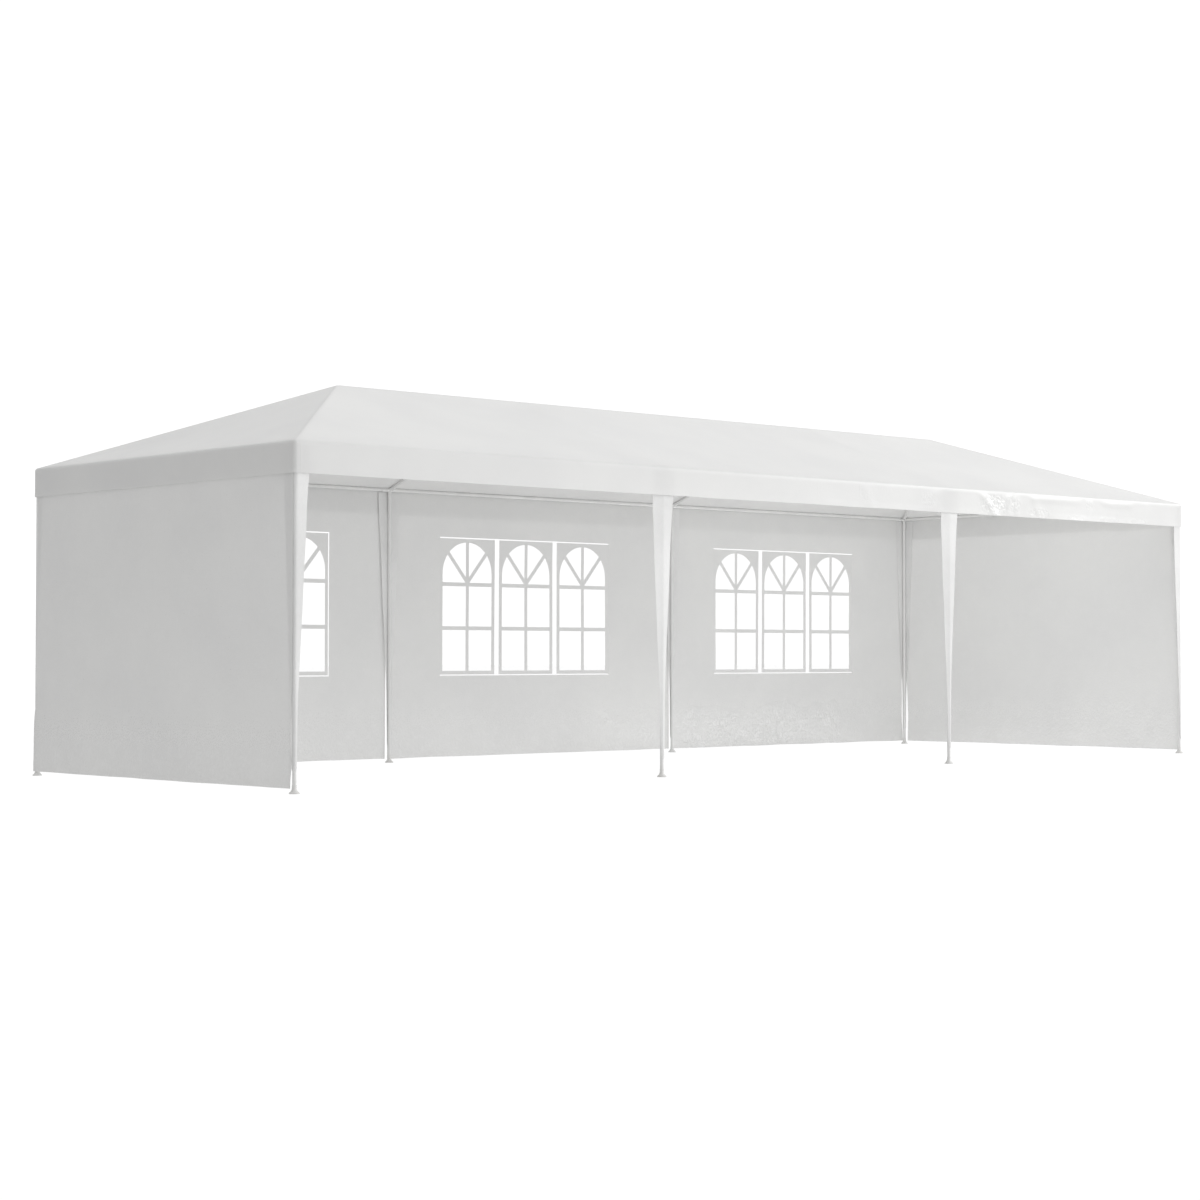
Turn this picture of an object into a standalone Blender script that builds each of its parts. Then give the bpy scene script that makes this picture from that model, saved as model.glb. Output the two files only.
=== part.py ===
"""Marquee tent, 3 m deep and 9 m long, with a hipped roof.

Eight slender white tube legs carry eave tubes, rafters and a ridge. A white tarpaulin cover
lies over them: four roof slopes, a straight valance below the eaves and a tapered drape down
each leg. Two plain walls close the ends, three walls with a window close the rear, and the
front is open.

The frame of reference is the tent's own: +X along its length, -Y out of the open front, +Z up,
with the origin on the ground at the centre of its footprint. Lengths are in metres.
"""

import math

import bmesh
import bpy
from mathutils import Matrix, Vector

# Driving dimensions of the frame
BAY = 3.0                 # distance between two legs along the length
BAYS = 3
DEPTH = 3.0               # distance between the front and the rear legs
EAVE_Z = 2.078            # centre of the eave tubes
RIDGE_Z = 2.6245          # centre of the ridge tube
RIDGE_HALF = 3.10         # half of the ridge's length
TUBE_R = 0.0125           # 25 mm tube
SLEEVE_R = 0.015          # sockets of the joints, which take the tube
SLEEVE_LENGTH = 0.075
SLEEVE_START = 0.003      # a side socket starts this far from its joint's centre
HUB_TOP = 0.010           # top of the upright socket above the joint's centre
FOOT_R = 0.0325
GAP = 0.0003              # clearance between pieces that touch

# Driving dimensions of the cover and the walls
CLOTH = 0.003             # thickness of each tarpaulin solid
FILM = 0.0015             # thickness of the window film
VALANCE_BOTTOM = 1.894
WALL_BOTTOM = 0.030
WALL_TOP = 2.050
WALL_EDGE_SETBACK = 0.020  # from a leg's centre to the side edge of a wall
DRAPE_TOP = 2.060
DRAPE_BOTTOM = 0.120
DRAPE_HALF_TOP = 0.096    # a drape's half width at the top and at the bottom
DRAPE_HALF_BOTTOM = 0.018
WINDOW_WIDTH = 1.780
WINDOW_BOTTOM = 0.659
WINDOW_TOP = 1.741
WINDOW_SHIFT = (0.06, -0.10, -0.09)  # from the middle of each rear bay, left to right

# Sides of the round pieces
ROUND_SIDES = 16
LEG_STEPS = 20
TUBE_BEVEL = 4

# Worked out from the driving dimensions
HALF_LENGTH = BAY * BAYS / 2
HALF_DEPTH = DEPTH / 2
LEG_XS = [-HALF_LENGTH + BAY * number for number in range(BAYS + 1)]
SIDES = {"front": -1, "rear": 1}
ENDS = {"left": -1, "right": 1}
RISE = RIDGE_Z - EAVE_Z
LIFT = SLEEVE_R + GAP     # from a tube's centre line to the underside of the cover, square to it
DRAPE_FACE = SLEEVE_R + GAP               # from the leg's centre to the layers outside it
WALL_FACE = DRAPE_FACE + CLOTH + GAP
VALANCE_FACE = WALL_FACE + CLOTH + GAP
COVER_EDGE = VALANCE_FACE + CLOTH

# Colour, roughness and metallic value of each finish
FINISHES = {
    "white_tube": ((0.86, 0.86, 0.86), 0.35, 0.0),
    "white_foot": ((0.80, 0.80, 0.80), 0.50, 0.0),
    "cover_cloth": ((0.88, 0.88, 0.88), 0.40, 0.0),
    "wall_cloth": ((0.84, 0.84, 0.84), 0.42, 0.0),
    "clear_film": ((0.92, 0.94, 0.95), 0.12, 0.0),
}


def clear_scene():
    """Remove whatever objects and collections the scene starts with."""
    for obj in list(bpy.data.objects):
        bpy.data.objects.remove(obj, do_unlink=True)
    for collection in list(bpy.data.collections):
        bpy.data.collections.remove(collection)


def new_collection(name):
    """Add an empty collection to the scene."""
    collection = bpy.data.collections.new(name)
    bpy.context.scene.collection.children.link(collection)
    return collection


def make_finish(name):
    """Make one Principled material from the table of finishes."""
    colour, roughness, metallic = FINISHES[name]
    material = bpy.data.materials.new(name)
    material.use_nodes = True
    shader = material.node_tree.nodes["Principled BSDF"]
    shader.inputs["Base Color"].default_value = (*colour, 1.0)
    shader.inputs["Roughness"].default_value = roughness
    shader.inputs["Metallic"].default_value = metallic
    return material


clear_scene()
TENT = new_collection("marquee_tent")
CUTTERS = new_collection("marquee_tent_cutters")
MATERIALS = {name: make_finish(name) for name in FINISHES}


def add_part(name, data, finish, location=(0.0, 0.0, 0.0)):
    """Add one piece of the tent with its finish."""
    data.materials.append(MATERIALS[finish])
    obj = bpy.data.objects.new(name, data)
    obj.location = location
    TENT.objects.link(obj)
    return obj


def mesh_from(name, bm):
    """Turn a bmesh into a mesh with smooth round sides and crisp edges."""
    mesh = bpy.data.meshes.new(name)
    bm.to_mesh(mesh)
    bm.free()
    mesh.shade_smooth()
    mesh.set_sharp_from_angle(angle=math.radians(40))
    return mesh


def rod_mesh(name, start, end, radius):
    """A round rod from start to end, as a capped cylinder."""
    axis = Vector(end) - Vector(start)
    bm = bmesh.new()
    bmesh.ops.create_cone(bm, cap_ends=True, segments=ROUND_SIDES, radius1=radius,
                          radius2=radius, depth=axis.length)
    turn = axis.to_track_quat("Z", "Y").to_matrix().to_4x4()
    middle = Matrix.Translation((Vector(start) + Vector(end)) / 2)
    bmesh.ops.transform(bm, matrix=middle @ turn, verts=bm.verts)
    return mesh_from(name, bm)


def box_mesh(name, size):
    """A box centred on its object's origin."""
    bm = bmesh.new()
    bmesh.ops.create_cube(bm, size=1.0)
    bmesh.ops.scale(bm, vec=size, verts=bm.verts)
    return mesh_from(name, bm)


def add_box(name, low, high, finish):
    """Add a flat panel between two opposite corners."""
    low = Vector(low)
    high = Vector(high)
    return add_part(name, box_mesh(name, high - low), finish, (low + high) / 2)


def add_cutter(name, mesh, location):
    """Add a helper solid that other pieces are joined with or cut by."""
    obj = bpy.data.objects.new(name, mesh)
    obj.location = location
    obj.hide_render = True
    obj.display_type = "WIRE"
    CUTTERS.objects.link(obj)
    return obj


def apply_boolean(obj, other, operation):
    """Join another solid to this one, or cut this one with it."""
    boolean = obj.modifiers.new(operation.lower(), "BOOLEAN")
    boolean.operation = operation
    boolean.solver = "EXACT"
    boolean.object = other


def fuse_rods(obj, rods):
    """Join round rods, each with a start, an end and a radius, to one piece."""
    for number, (start, end, radius) in enumerate(rods):
        name = f"{obj.name}_rod_{number}"
        rod = add_cutter(name, rod_mesh(name, start, end, radius), obj.location)
        apply_boolean(obj, rod, "UNION")


def side_socket(direction):
    """The socket of a joint that points along a direction, as a rod."""
    direction = Vector(direction).normalized()
    return direction * SLEEVE_START, direction * SLEEVE_LENGTH, SLEEVE_R


def eave_point(x, side):
    """Centre of the joint on top of a leg."""
    return Vector((x, side * HALF_DEPTH, EAVE_Z))


def ridge_point(x):
    """Centre of the joint on the ridge that a leg's rafter reaches."""
    return Vector((max(-RIDGE_HALF, min(RIDGE_HALF, x)), 0.0, RIDGE_Z))


def add_tube(name, first_joint, second_joint):
    """Add a straight tube that ends just short of the sockets of two joints."""
    span = Vector(second_joint) - Vector(first_joint)
    inset = span.normalized() * (SLEEVE_LENGTH + GAP)
    curve = bpy.data.curves.new(name, "CURVE")
    curve.dimensions = "3D"
    curve.bevel_depth = TUBE_R
    curve.bevel_resolution = TUBE_BEVEL
    curve.use_fill_caps = True
    spline = curve.splines.new("POLY")
    spline.points.add(1)
    spline.points[0].co = (*inset, 1.0)
    spline.points[1].co = (*(span - inset), 1.0)
    return add_part(name, curve, "white_tube", first_joint)


def leg_mesh():
    """Half outline of a leg and its flared foot, for a Screw modifier."""
    top = EAVE_Z - SLEEVE_LENGTH - GAP
    outline = [
        (0.0, top), (TUBE_R, top),
        (TUBE_R, 0.046), (SLEEVE_R, 0.044), (0.016, 0.020), (0.024, 0.011),
        (FOOT_R, 0.006), (FOOT_R, 0.0), (0.0, 0.0),
    ]
    bm = bmesh.new()
    verts = [bm.verts.new((radius, 0.0, height)) for radius, height in outline]
    for upper, lower in zip(verts, verts[1:]):
        bm.edges.new((upper, lower))
    mesh = bpy.data.meshes.new("leg")
    bm.to_mesh(mesh)
    bm.free()
    return mesh


def build_legs():
    """A leg with its foot below every eave joint."""
    for side_name, side in SIDES.items():
        for number, x in enumerate(LEG_XS, start=1):
            leg = add_part(f"leg_{side_name}_{number}", leg_mesh(), "white_tube",
                           (x, side * HALF_DEPTH, 0.0))
            turn = leg.modifiers.new("turn", "SCREW")
            turn.steps = LEG_STEPS
            turn.render_steps = LEG_STEPS
            turn.use_merge_vertices = True
            turn.merge_threshold = 0.0001


def build_eave_joints():
    """The socketed joint on top of each leg."""
    for side_name, side in SIDES.items():
        for number, x in enumerate(LEG_XS, start=1):
            name = f"eave_joint_{side_name}_{number}"
            centre = eave_point(x, side)
            upright = rod_mesh(name, (0, 0, -SLEEVE_LENGTH), (0, 0, HUB_TOP), SLEEVE_R)
            joint = add_part(name, upright, "white_tube", centre)
            ways = [ridge_point(x) - centre]
            if x > LEG_XS[0]:
                ways.append((-1, 0, 0))
            if x < LEG_XS[-1]:
                ways.append((1, 0, 0))
            if abs(x) == HALF_LENGTH:
                ways.append((0, -side, 0))
            fuse_rods(joint, [side_socket(way) for way in ways])


def build_eave_tubes():
    """The level tubes between the tops of the legs."""
    for side_name, side in SIDES.items():
        for number, (first, second) in enumerate(zip(LEG_XS, LEG_XS[1:]), start=1):
            add_tube(f"eave_tube_{side_name}_{number}", eave_point(first, side),
                     eave_point(second, side))
    for end_name, end in ENDS.items():
        x = end * HALF_LENGTH
        add_tube(f"eave_tube_{end_name}", eave_point(x, -1), eave_point(x, 1))


def build_rafters():
    """A sloping tube from each leg's joint up to the ridge."""
    for side_name, side in SIDES.items():
        for number, x in enumerate(LEG_XS, start=1):
            kind = "hip_rafter" if abs(x) == HALF_LENGTH else "rafter"
            add_tube(f"{kind}_{side_name}_{number}", eave_point(x, side), ridge_point(x))


def build_ridge():
    """The ridge tube with the sleeves and sockets that take the rafters."""
    end = RIDGE_HALF
    core = rod_mesh("ridge_beam", (-end, 0, 0), (end, 0, 0), TUBE_R)
    ridge = add_part("ridge_beam", core, "white_tube", (0.0, 0.0, RIDGE_Z))
    rods = []
    for x in LEG_XS:
        centre = ridge_point(x) - ridge.location
        low = max(-end, centre.x - SLEEVE_LENGTH)
        high = min(end, centre.x + SLEEVE_LENGTH)
        rods.append(((low, 0, 0), (high, 0, 0), SLEEVE_R))
        for side in SIDES.values():
            way = (eave_point(x, side) - ridge_point(x)).normalized()
            rods.append((centre + way * SLEEVE_START, centre + way * SLEEVE_LENGTH, SLEEVE_R))
    fuse_rods(ridge, rods)


def add_sheet(name, outline_rows, finish, outwards):
    """Add cloth of one thickness, grown outwards from an open surface.

    outline_rows holds two rows of points, which are joined by a strip of faces.
    """
    bm = bmesh.new()
    first, second = [[bm.verts.new(point) for point in row] for row in outline_rows]
    if len(second) == 1:
        bm.faces.new((first[0], first[1], second[0]))
    else:
        for number in range(len(first) - 1):
            bm.faces.new((first[number], first[number + 1], second[number + 1],
                          second[number]))
    bm.normal_update()
    if sum((face.normal for face in bm.faces), Vector()).dot(Vector(outwards)) < 0:
        bmesh.ops.reverse_faces(bm, faces=bm.faces)
    mesh = bpy.data.meshes.new(name)
    bm.to_mesh(mesh)
    bm.free()
    sheet = add_part(name, mesh, finish)
    shell = sheet.modifiers.new("cloth", "SOLIDIFY")
    shell.thickness = CLOTH
    shell.offset = 1.0
    shell.use_even_offset = True
    return sheet


def underside_z(run, tangent):
    """Height of the cover's underside at a distance inside the line of the eave tube."""
    return EAVE_Z + run * tangent + LIFT * math.sqrt(1 + tangent * tangent)


def build_roof():
    """The four slopes of the cover, which lie on the sockets of the frame."""
    outer_x = HALF_LENGTH + COVER_EDGE
    outer_y = HALF_DEPTH + COVER_EDGE
    long_tangent = RISE / HALF_DEPTH
    end_tangent = RISE / (HALF_LENGTH - RIDGE_HALF)
    low_z = underside_z(-COVER_EDGE, long_tangent)
    high_z = underside_z(HALF_DEPTH - GAP, long_tangent)
    for side_name, side in SIDES.items():
        eave = [(sign * (outer_x - GAP), side * outer_y, low_z) for sign in (-1, 1)]
        ridge = [(sign * (RIDGE_HALF - GAP), side * GAP, high_z) for sign in (-1, 1)]
        add_sheet(f"roof_slope_{side_name}", (eave, ridge), "cover_cloth", (0, side, 2))
    low_z = underside_z(-COVER_EDGE, end_tangent)
    apex_run = HALF_LENGTH - RIDGE_HALF - 2 * GAP
    high_z = underside_z(apex_run, end_tangent)
    for end_name, end in ENDS.items():
        eave = [(end * outer_x, sign * (outer_y - 3 * GAP), low_z) for sign in (-1, 1)]
        apex = [(end * (HALF_LENGTH - apex_run), 0.0, high_z)]
        add_sheet(f"roof_end_{end_name}", (eave, apex), "cover_cloth", (end, 0, 2))


def build_valances():
    """The straight skirt of the cover below the eaves."""
    inner_x = HALF_LENGTH + VALANCE_FACE
    outer_x = HALF_LENGTH + COVER_EDGE
    inner_y = HALF_DEPTH + VALANCE_FACE
    outer_y = HALF_DEPTH + COVER_EDGE
    long_top = underside_z(-COVER_EDGE, RISE / HALF_DEPTH) - GAP
    end_top = underside_z(-COVER_EDGE, RISE / (HALF_LENGTH - RIDGE_HALF)) - GAP
    top = min(long_top, end_top)
    for side_name, side in SIDES.items():
        low_y, high_y = sorted((side * inner_y, side * outer_y))
        add_box(f"valance_{side_name}", (-outer_x, low_y, VALANCE_BOTTOM),
                (outer_x, high_y, top), "cover_cloth")
    for end_name, end in ENDS.items():
        low_x, high_x = sorted((end * inner_x, end * outer_x))
        add_box(f"valance_{end_name}", (low_x, -(inner_y - GAP), VALANCE_BOTTOM),
                (high_x, inner_y - GAP, top), "cover_cloth")


def drape_row(x, side, half_width, height):
    """Points across a leg drape at one height; a corner drape folds round its corner."""
    face_y = side * (HALF_DEPTH + DRAPE_FACE)
    if abs(x) < HALF_LENGTH:
        return [(x - half_width, face_y, height), (x + half_width, face_y, height)]
    end = math.copysign(1, x)
    face_x = x + end * DRAPE_FACE
    return [(x - end * half_width, face_y, height), (face_x, face_y, height),
            (face_x, side * (HALF_DEPTH - half_width), height)]


def build_leg_drapes():
    """The tapered strip of the cover that hangs down the outside of each leg."""
    for side_name, side in SIDES.items():
        for number, x in enumerate(LEG_XS, start=1):
            rows = (drape_row(x, side, DRAPE_HALF_TOP, DRAPE_TOP),
                    drape_row(x, side, DRAPE_HALF_BOTTOM, DRAPE_BOTTOM))
            corner = math.copysign(1, x) if abs(x) == HALF_LENGTH else 0
            add_sheet(f"leg_drape_{side_name}_{number}", rows, "cover_cloth",
                      (corner, side, 0))


def build_end_walls():
    """The plain wall that closes each end."""
    half_width = HALF_DEPTH - WALL_EDGE_SETBACK
    for end_name, end in ENDS.items():
        near = end * (HALF_LENGTH + WALL_FACE)
        low_x, high_x = sorted((near, near + end * CLOTH))
        add_box(f"wall_{end_name}", (low_x, -half_width, WALL_BOTTOM),
                (high_x, half_width, WALL_TOP), "wall_cloth")


def build_rear_walls():
    """A wall with a window in each rear bay, and the clear film in the window."""
    low_y = HALF_DEPTH + WALL_FACE
    for number, (first, shift) in enumerate(zip(LEG_XS, WINDOW_SHIFT), start=1):
        wall = add_box(f"wall_rear_{number}",
                       (first + WALL_EDGE_SETBACK, low_y, WALL_BOTTOM),
                       (first + BAY - WALL_EDGE_SETBACK, low_y + CLOTH, WALL_TOP),
                       "wall_cloth")
        middle = Vector((first + BAY / 2 + shift, low_y + CLOTH / 2,
                         (WINDOW_BOTTOM + WINDOW_TOP) / 2))
        size = Vector((WINDOW_WIDTH, CLOTH * 4, WINDOW_TOP - WINDOW_BOTTOM))
        name = f"window_cutter_{number}"
        apply_boolean(wall, add_cutter(name, box_mesh(name, size), middle), "DIFFERENCE")
        half = Vector((size.x / 2 - GAP, FILM / 2, size.z / 2 - GAP))
        add_box(f"window_film_{number}", middle - half, middle + half, "clear_film")


build_legs()
build_eave_joints()
build_eave_tubes()
build_rafters()
build_ridge()
build_roof()
build_valances()
build_leg_drapes()
build_end_walls()
build_rear_walls()
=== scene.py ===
"""Looks of a marquee tent: nine metres of white tarpaulin over slender white tubes.

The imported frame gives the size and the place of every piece. This script dresses it: turned
steel tubes and sockets, one curved cover sheet with its valance, a soft drape down each leg,
hanging walls with hems and stitching, and clear window films with a printed lattice. Lengths
are in metres, with +X along the tent, -Y out of the open front and +Z up.
"""

import logging
import math
from dataclasses import dataclass, field
from enum import Enum
from typing import Any, Sequence

import bmesh
import bpy
import numpy as np
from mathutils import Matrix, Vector, noise


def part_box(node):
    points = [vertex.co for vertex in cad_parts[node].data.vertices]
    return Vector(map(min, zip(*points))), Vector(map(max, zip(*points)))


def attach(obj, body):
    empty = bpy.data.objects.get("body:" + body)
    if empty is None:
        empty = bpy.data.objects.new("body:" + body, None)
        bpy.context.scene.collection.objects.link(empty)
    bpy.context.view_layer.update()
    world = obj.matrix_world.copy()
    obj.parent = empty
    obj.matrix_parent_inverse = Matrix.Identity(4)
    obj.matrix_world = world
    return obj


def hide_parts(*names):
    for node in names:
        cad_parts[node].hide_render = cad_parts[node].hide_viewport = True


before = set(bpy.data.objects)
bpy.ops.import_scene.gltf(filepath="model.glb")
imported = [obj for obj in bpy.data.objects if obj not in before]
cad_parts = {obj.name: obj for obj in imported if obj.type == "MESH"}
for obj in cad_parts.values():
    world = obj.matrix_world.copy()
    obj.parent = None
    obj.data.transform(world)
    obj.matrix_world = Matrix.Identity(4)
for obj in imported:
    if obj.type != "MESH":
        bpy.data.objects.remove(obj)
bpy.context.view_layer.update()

LOG = logging.getLogger("marquee_tent")
BODY = "root"

Knots = tuple[tuple[float, float], ...]


class Side(Enum):
    """The long sides of the tent, each with the sign of its Y."""

    FRONT = -1
    REAR = 1


class End(Enum):
    """The ends of the tent, each with the sign of its X."""

    LEFT = -1
    RIGHT = 1


class LightReach(Enum):
    """What a light panel shows in."""

    ALL = "all"
    MATT = "matt"
    GLOSS = "gloss"


class Slot(Enum):
    """Material slots of the part."""

    TUBE = "white_tube"
    COVER = "cover_cloth"
    WALL = "wall_cloth"
    FILM = "clear_film"


# Small mathematical helpers


def smoothstep(low: float, high: float, value: Any) -> Any:
    """Ease from 0 at low to 1 at high.

    Args:
        low: Value at which the result is 0. It may lie above high.
        high: Value at which the result is 1.
        value: A number or an array of numbers.

    Returns:
        The eased share, of the same shape as value.
    """
    share = np.clip((value - low) / (high - low), 0.0, 1.0)
    return share * share * (3.0 - 2.0 * share)


def eased_knots(knots: Knots, value: Any, blur: float = 0.08) -> Any:
    """Read a curve given by a few knots, with its corners rounded off.

    Args:
        knots: Pairs of position and value, in rising order of position.
        value: Where the curve is read.
        blur: Half width of the window that the curve is averaged over.

    Returns:
        The curve's value at each place.
    """
    places, heights = zip(*knots)
    shifts = np.linspace(-blur, blur, 7)
    return sum(np.interp(value + shift, places, heights) for shift in shifts) / len(shifts)


def perlin(coords: Sequence[np.ndarray], seed: float) -> np.ndarray:
    """Smooth noise from about -1 to 1.

    Args:
        coords: Up to three arrays of one shape, already divided by the size of the ripples.
        seed: Picks one noise among many.

    Returns:
        An array of the same shape as each coordinate.
    """
    padded = list(coords) + [np.zeros_like(coords[0])] * (3 - len(coords))
    flat = np.stack([np.ravel(axis) for axis in padded], axis=1) + seed * 7.31
    return np.array([noise.noise(point) for point in flat]).reshape(coords[0].shape)


def facets(coords: Sequence[np.ndarray], seed: float) -> np.ndarray:
    """Crumpled facets: low along the creases between cells and high in their middles.

    Args:
        coords: Two arrays, already divided by the size of a facet.
        seed: Picks one pattern among many.

    Returns:
        Heights from 0 to about 1.
    """
    warp = perlin([axis * 0.6 for axis in coords], seed + 2.0)
    across = coords[0] + 0.5 * warp
    down = coords[1] - 0.4 * warp
    heights = []
    for u, v in zip(np.ravel(across), np.ravel(down)):
        near = noise.voronoi((u, v, seed))[0]
        heights.append(near[1] - near[0])
    return np.array(heights).reshape(across.shape)


# Node trees


class Graph:
    """Adds and links the nodes of one tree."""

    def __init__(self, tree: bpy.types.NodeTree) -> None:
        """Keep the tree that nodes are added to."""
        self.tree = tree

    def node(self, kind: str, sockets: dict[Any, Any] | None = None, **settings: Any) -> Any:
        """Add a node.

        Args:
            kind: Blender's name for the node type.
            sockets: Input socket, by name or number, with its value or the output linked to it.
            settings: Properties of the node.

        Returns:
            The new node.
        """
        new = self.tree.nodes.new(kind)
        for key, value in settings.items():
            setattr(new, key, value)
        for key, value in (sockets or {}).items():
            if isinstance(value, bpy.types.NodeSocket):
                self.tree.links.new(value, new.inputs[key])
            else:
                new.inputs[key].default_value = value
        return new

    def math(self, operation: str, *values: Any) -> Any:
        """Add a Math node and return its output."""
        return self.node("ShaderNodeMath", dict(enumerate(values)), operation=operation).outputs[0]

    def ramp(self, value: Any, start: float, stop: float, low: float = 0.0,
             high: float = 1.0) -> Any:
        """Ease a value from low at start to high at stop, and return the output."""
        sockets = {0: value, 1: start, 2: stop, 3: low, 4: high}
        return self.node("ShaderNodeMapRange", sockets,
                         interpolation_type="SMOOTHSTEP").outputs[0]

    def colour(self, share: Any, first: Any, second: Any) -> Any:
        """Mix two colours, each a socket or three values, by a share and return the output."""
        ends = [end if isinstance(end, bpy.types.NodeSocket) else (*end, 1.0)
                for end in (first, second)]
        mix = self.node("ShaderNodeMix", {0: share, 6: ends[0], 7: ends[1]}, data_type="RGBA")
        return mix.outputs[2]

    def group(self, tree: bpy.types.NodeTree, sockets: dict[str, Any]) -> Any:
        """Place a shader node group with its own values."""
        return self.node("ShaderNodeGroup", sockets, node_tree=tree)


def add_sockets(tree: bpy.types.NodeTree, inputs: dict[str, tuple[str, Any]],
                outputs: dict[str, str]) -> None:
    """Give a tree its named sockets.

    Args:
        tree: The node group.
        inputs: Name of each input with its kind and its default, or None for no default.
        outputs: Name of each output with its kind.
    """
    for name, (kind, default) in inputs.items():
        socket = tree.interface.new_socket(name, in_out="INPUT", socket_type=kind)
        if default is not None:
            socket.default_value = default
    for name, kind in outputs.items():
        tree.interface.new_socket(name, in_out="OUTPUT", socket_type=kind)


FLOAT = "NodeSocketFloat"
VECTOR = "NodeSocketVector"


class SurfaceEffects:
    """Shader node groups that several finishes share, each built once."""

    def __init__(self) -> None:
        """Build every group."""
        self.weave = self._weave()
        self.crinkle = self._crinkle()
        self.storage_folds = self._storage_folds()
        self.ground_dust = self._ground_dust()
        self.orange_peel = self._orange_peel()

    @staticmethod
    def _start(name: str, inputs: dict[str, tuple[str, Any]],
               outputs: Sequence[str]) -> tuple[Graph, Any, Any]:
        """Begin a group.

        Args:
            name: Name of the group.
            inputs: Its inputs, as add_sockets takes them.
            outputs: Names of its outputs, which are all plain numbers.

        Returns:
            The graph, the input node's outputs and the output node's inputs.
        """
        tree = bpy.data.node_groups.new(name, "ShaderNodeTree")
        add_sockets(tree, inputs, {output: FLOAT for output in outputs})
        graph = Graph(tree)
        source = graph.node("NodeGroupInput").outputs
        sink = graph.node("NodeGroupOutput").inputs
        return graph, source, sink

    def _weave(self) -> bpy.types.NodeTree:
        """Flat tapes woven over and under each other, below the sheet's clear coat."""
        graph, source, sink = self._start(
            "tape_weave", {"Vector": (VECTOR, None), "Pitch": (FLOAT, 0.002)}, ["Height"])
        parts = graph.node("ShaderNodeSeparateXYZ", {0: source["Vector"]}).outputs
        turns = graph.math("DIVIDE", math.pi, source["Pitch"])
        waves = [graph.math("SINE", graph.math("MULTIPLY", parts[axis], turns))
                 for axis in (0, 1)]
        over = graph.math("MULTIPLY", waves[0], waves[1])
        graph.tree.links.new(graph.math("MULTIPLY_ADD", over, 0.5, 0.5), sink["Height"])
        return graph.tree

    def _crinkle(self) -> bpy.types.NodeTree:
        """The foil-like crumples of a coated sheet, in two sizes."""
        graph, source, sink = self._start(
            "foil_crinkle", {"Vector": (VECTOR, None), "Size": (FLOAT, 0.05)},
            ["Height", "Fine", "Crease", "Blotch"])
        scale = graph.math("DIVIDE", 1.0, source["Size"])
        warp = graph.node("ShaderNodeTexNoise", {
            "Vector": source["Vector"], "Scale": graph.math("MULTIPLY", scale, 0.7),
            "Detail": 2.0, "Roughness": 0.5})
        pull = graph.node("ShaderNodeVectorMath", {0: warp.outputs["Color"], 3: source["Size"]},
                          operation="SCALE")
        moved = graph.node("ShaderNodeVectorMath", {0: source["Vector"], 1: pull.outputs[0]},
                           operation="ADD").outputs[0]
        layers = []
        for factor in (1.0, 2.6):
            cell = graph.node("ShaderNodeTexVoronoi", {
                "Vector": moved, "Scale": graph.math("MULTIPLY", scale, factor)},
                feature="DISTANCE_TO_EDGE")
            layers.append(cell.outputs["Distance"])
        coarse = graph.math("MULTIPLY", layers[0], 1.4)
        graph.tree.links.new(graph.math("MULTIPLY_ADD", layers[1], 0.6, coarse), sink["Height"])
        graph.tree.links.new(layers[1], sink["Fine"])
        # The crease marks and the blotches mark where the tarpaulin finish paints crease shade and
        # sheen.
        strong = graph.ramp(layers[0], 0.05, 0.0)
        faint = graph.math("MULTIPLY", graph.ramp(layers[1], 0.07, 0.0), 0.45)
        patches = graph.node("ShaderNodeTexNoise", {
            "Vector": source["Vector"], "Scale": graph.math("MULTIPLY", scale, 0.45),
            "Detail": 3.0, "Roughness": 0.6}).outputs["Fac"]
        broken = graph.ramp(patches, 0.42, 0.56)
        lines = graph.math("MULTIPLY", graph.math("MAXIMUM", strong, faint), broken)
        graph.tree.links.new(lines, sink["Crease"])
        graph.tree.links.new(graph.ramp(patches, 0.46, 0.62), sink["Blotch"])
        return graph.tree

    def _storage_folds(self) -> bpy.types.NodeTree:
        """Faint straight creases, left from the sheet being packed flat."""
        graph, source, sink = self._start(
            "storage_folds", {"Vector": (VECTOR, None), "Spacing": (FLOAT, 0.45),
                              "Width": (FLOAT, 0.006)}, ["Height"])
        parts = graph.node("ShaderNodeSeparateXYZ", {0: source["Vector"]}).outputs
        strength = graph.node("ShaderNodeTexNoise", {
            "Vector": source["Vector"], "Scale": 1.7, "Detail": 1.0}).outputs["Fac"]
        ridges = []
        for axis in (0, 1):
            share = graph.math("FRACT", graph.math("DIVIDE", parts[axis], source["Spacing"]))
            away = graph.math("MULTIPLY", graph.math("ABSOLUTE", graph.math(
                "SUBTRACT", share, 0.5)), source["Spacing"])
            near = graph.math("SUBTRACT", 1.0, graph.math("DIVIDE", away, source["Width"]))
            ridges.append(graph.math("MAXIMUM", near, 0.0))
        highest = graph.math("MAXIMUM", ridges[0], ridges[1])
        broken = graph.math("MULTIPLY", highest, graph.ramp(strength, 0.35, 0.65))
        graph.tree.links.new(broken, sink["Height"])
        return graph.tree

    def _ground_dust(self) -> bpy.types.NodeTree:
        """A trace of dust that fades out above the ground."""
        graph, source, sink = self._start(
            "ground_dust", {"Vector": (VECTOR, None), "Reach": (FLOAT, 0.3)}, ["Mask"])
        height = graph.node("ShaderNodeSeparateXYZ", {0: source["Vector"]}).outputs[2]
        fade = graph.math("SUBTRACT", 1.0, graph.math("DIVIDE", height, source["Reach"]))
        spots = graph.node("ShaderNodeTexNoise", {
            "Vector": source["Vector"], "Scale": 9.0, "Detail": 6.0,
            "Roughness": 0.65}).outputs["Fac"]
        mask = graph.math("MULTIPLY", graph.math("MAXIMUM", fade, 0.0),
                          graph.ramp(spots, 0.35, 0.7))
        graph.tree.links.new(mask, sink["Mask"])
        return graph.tree

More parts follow.
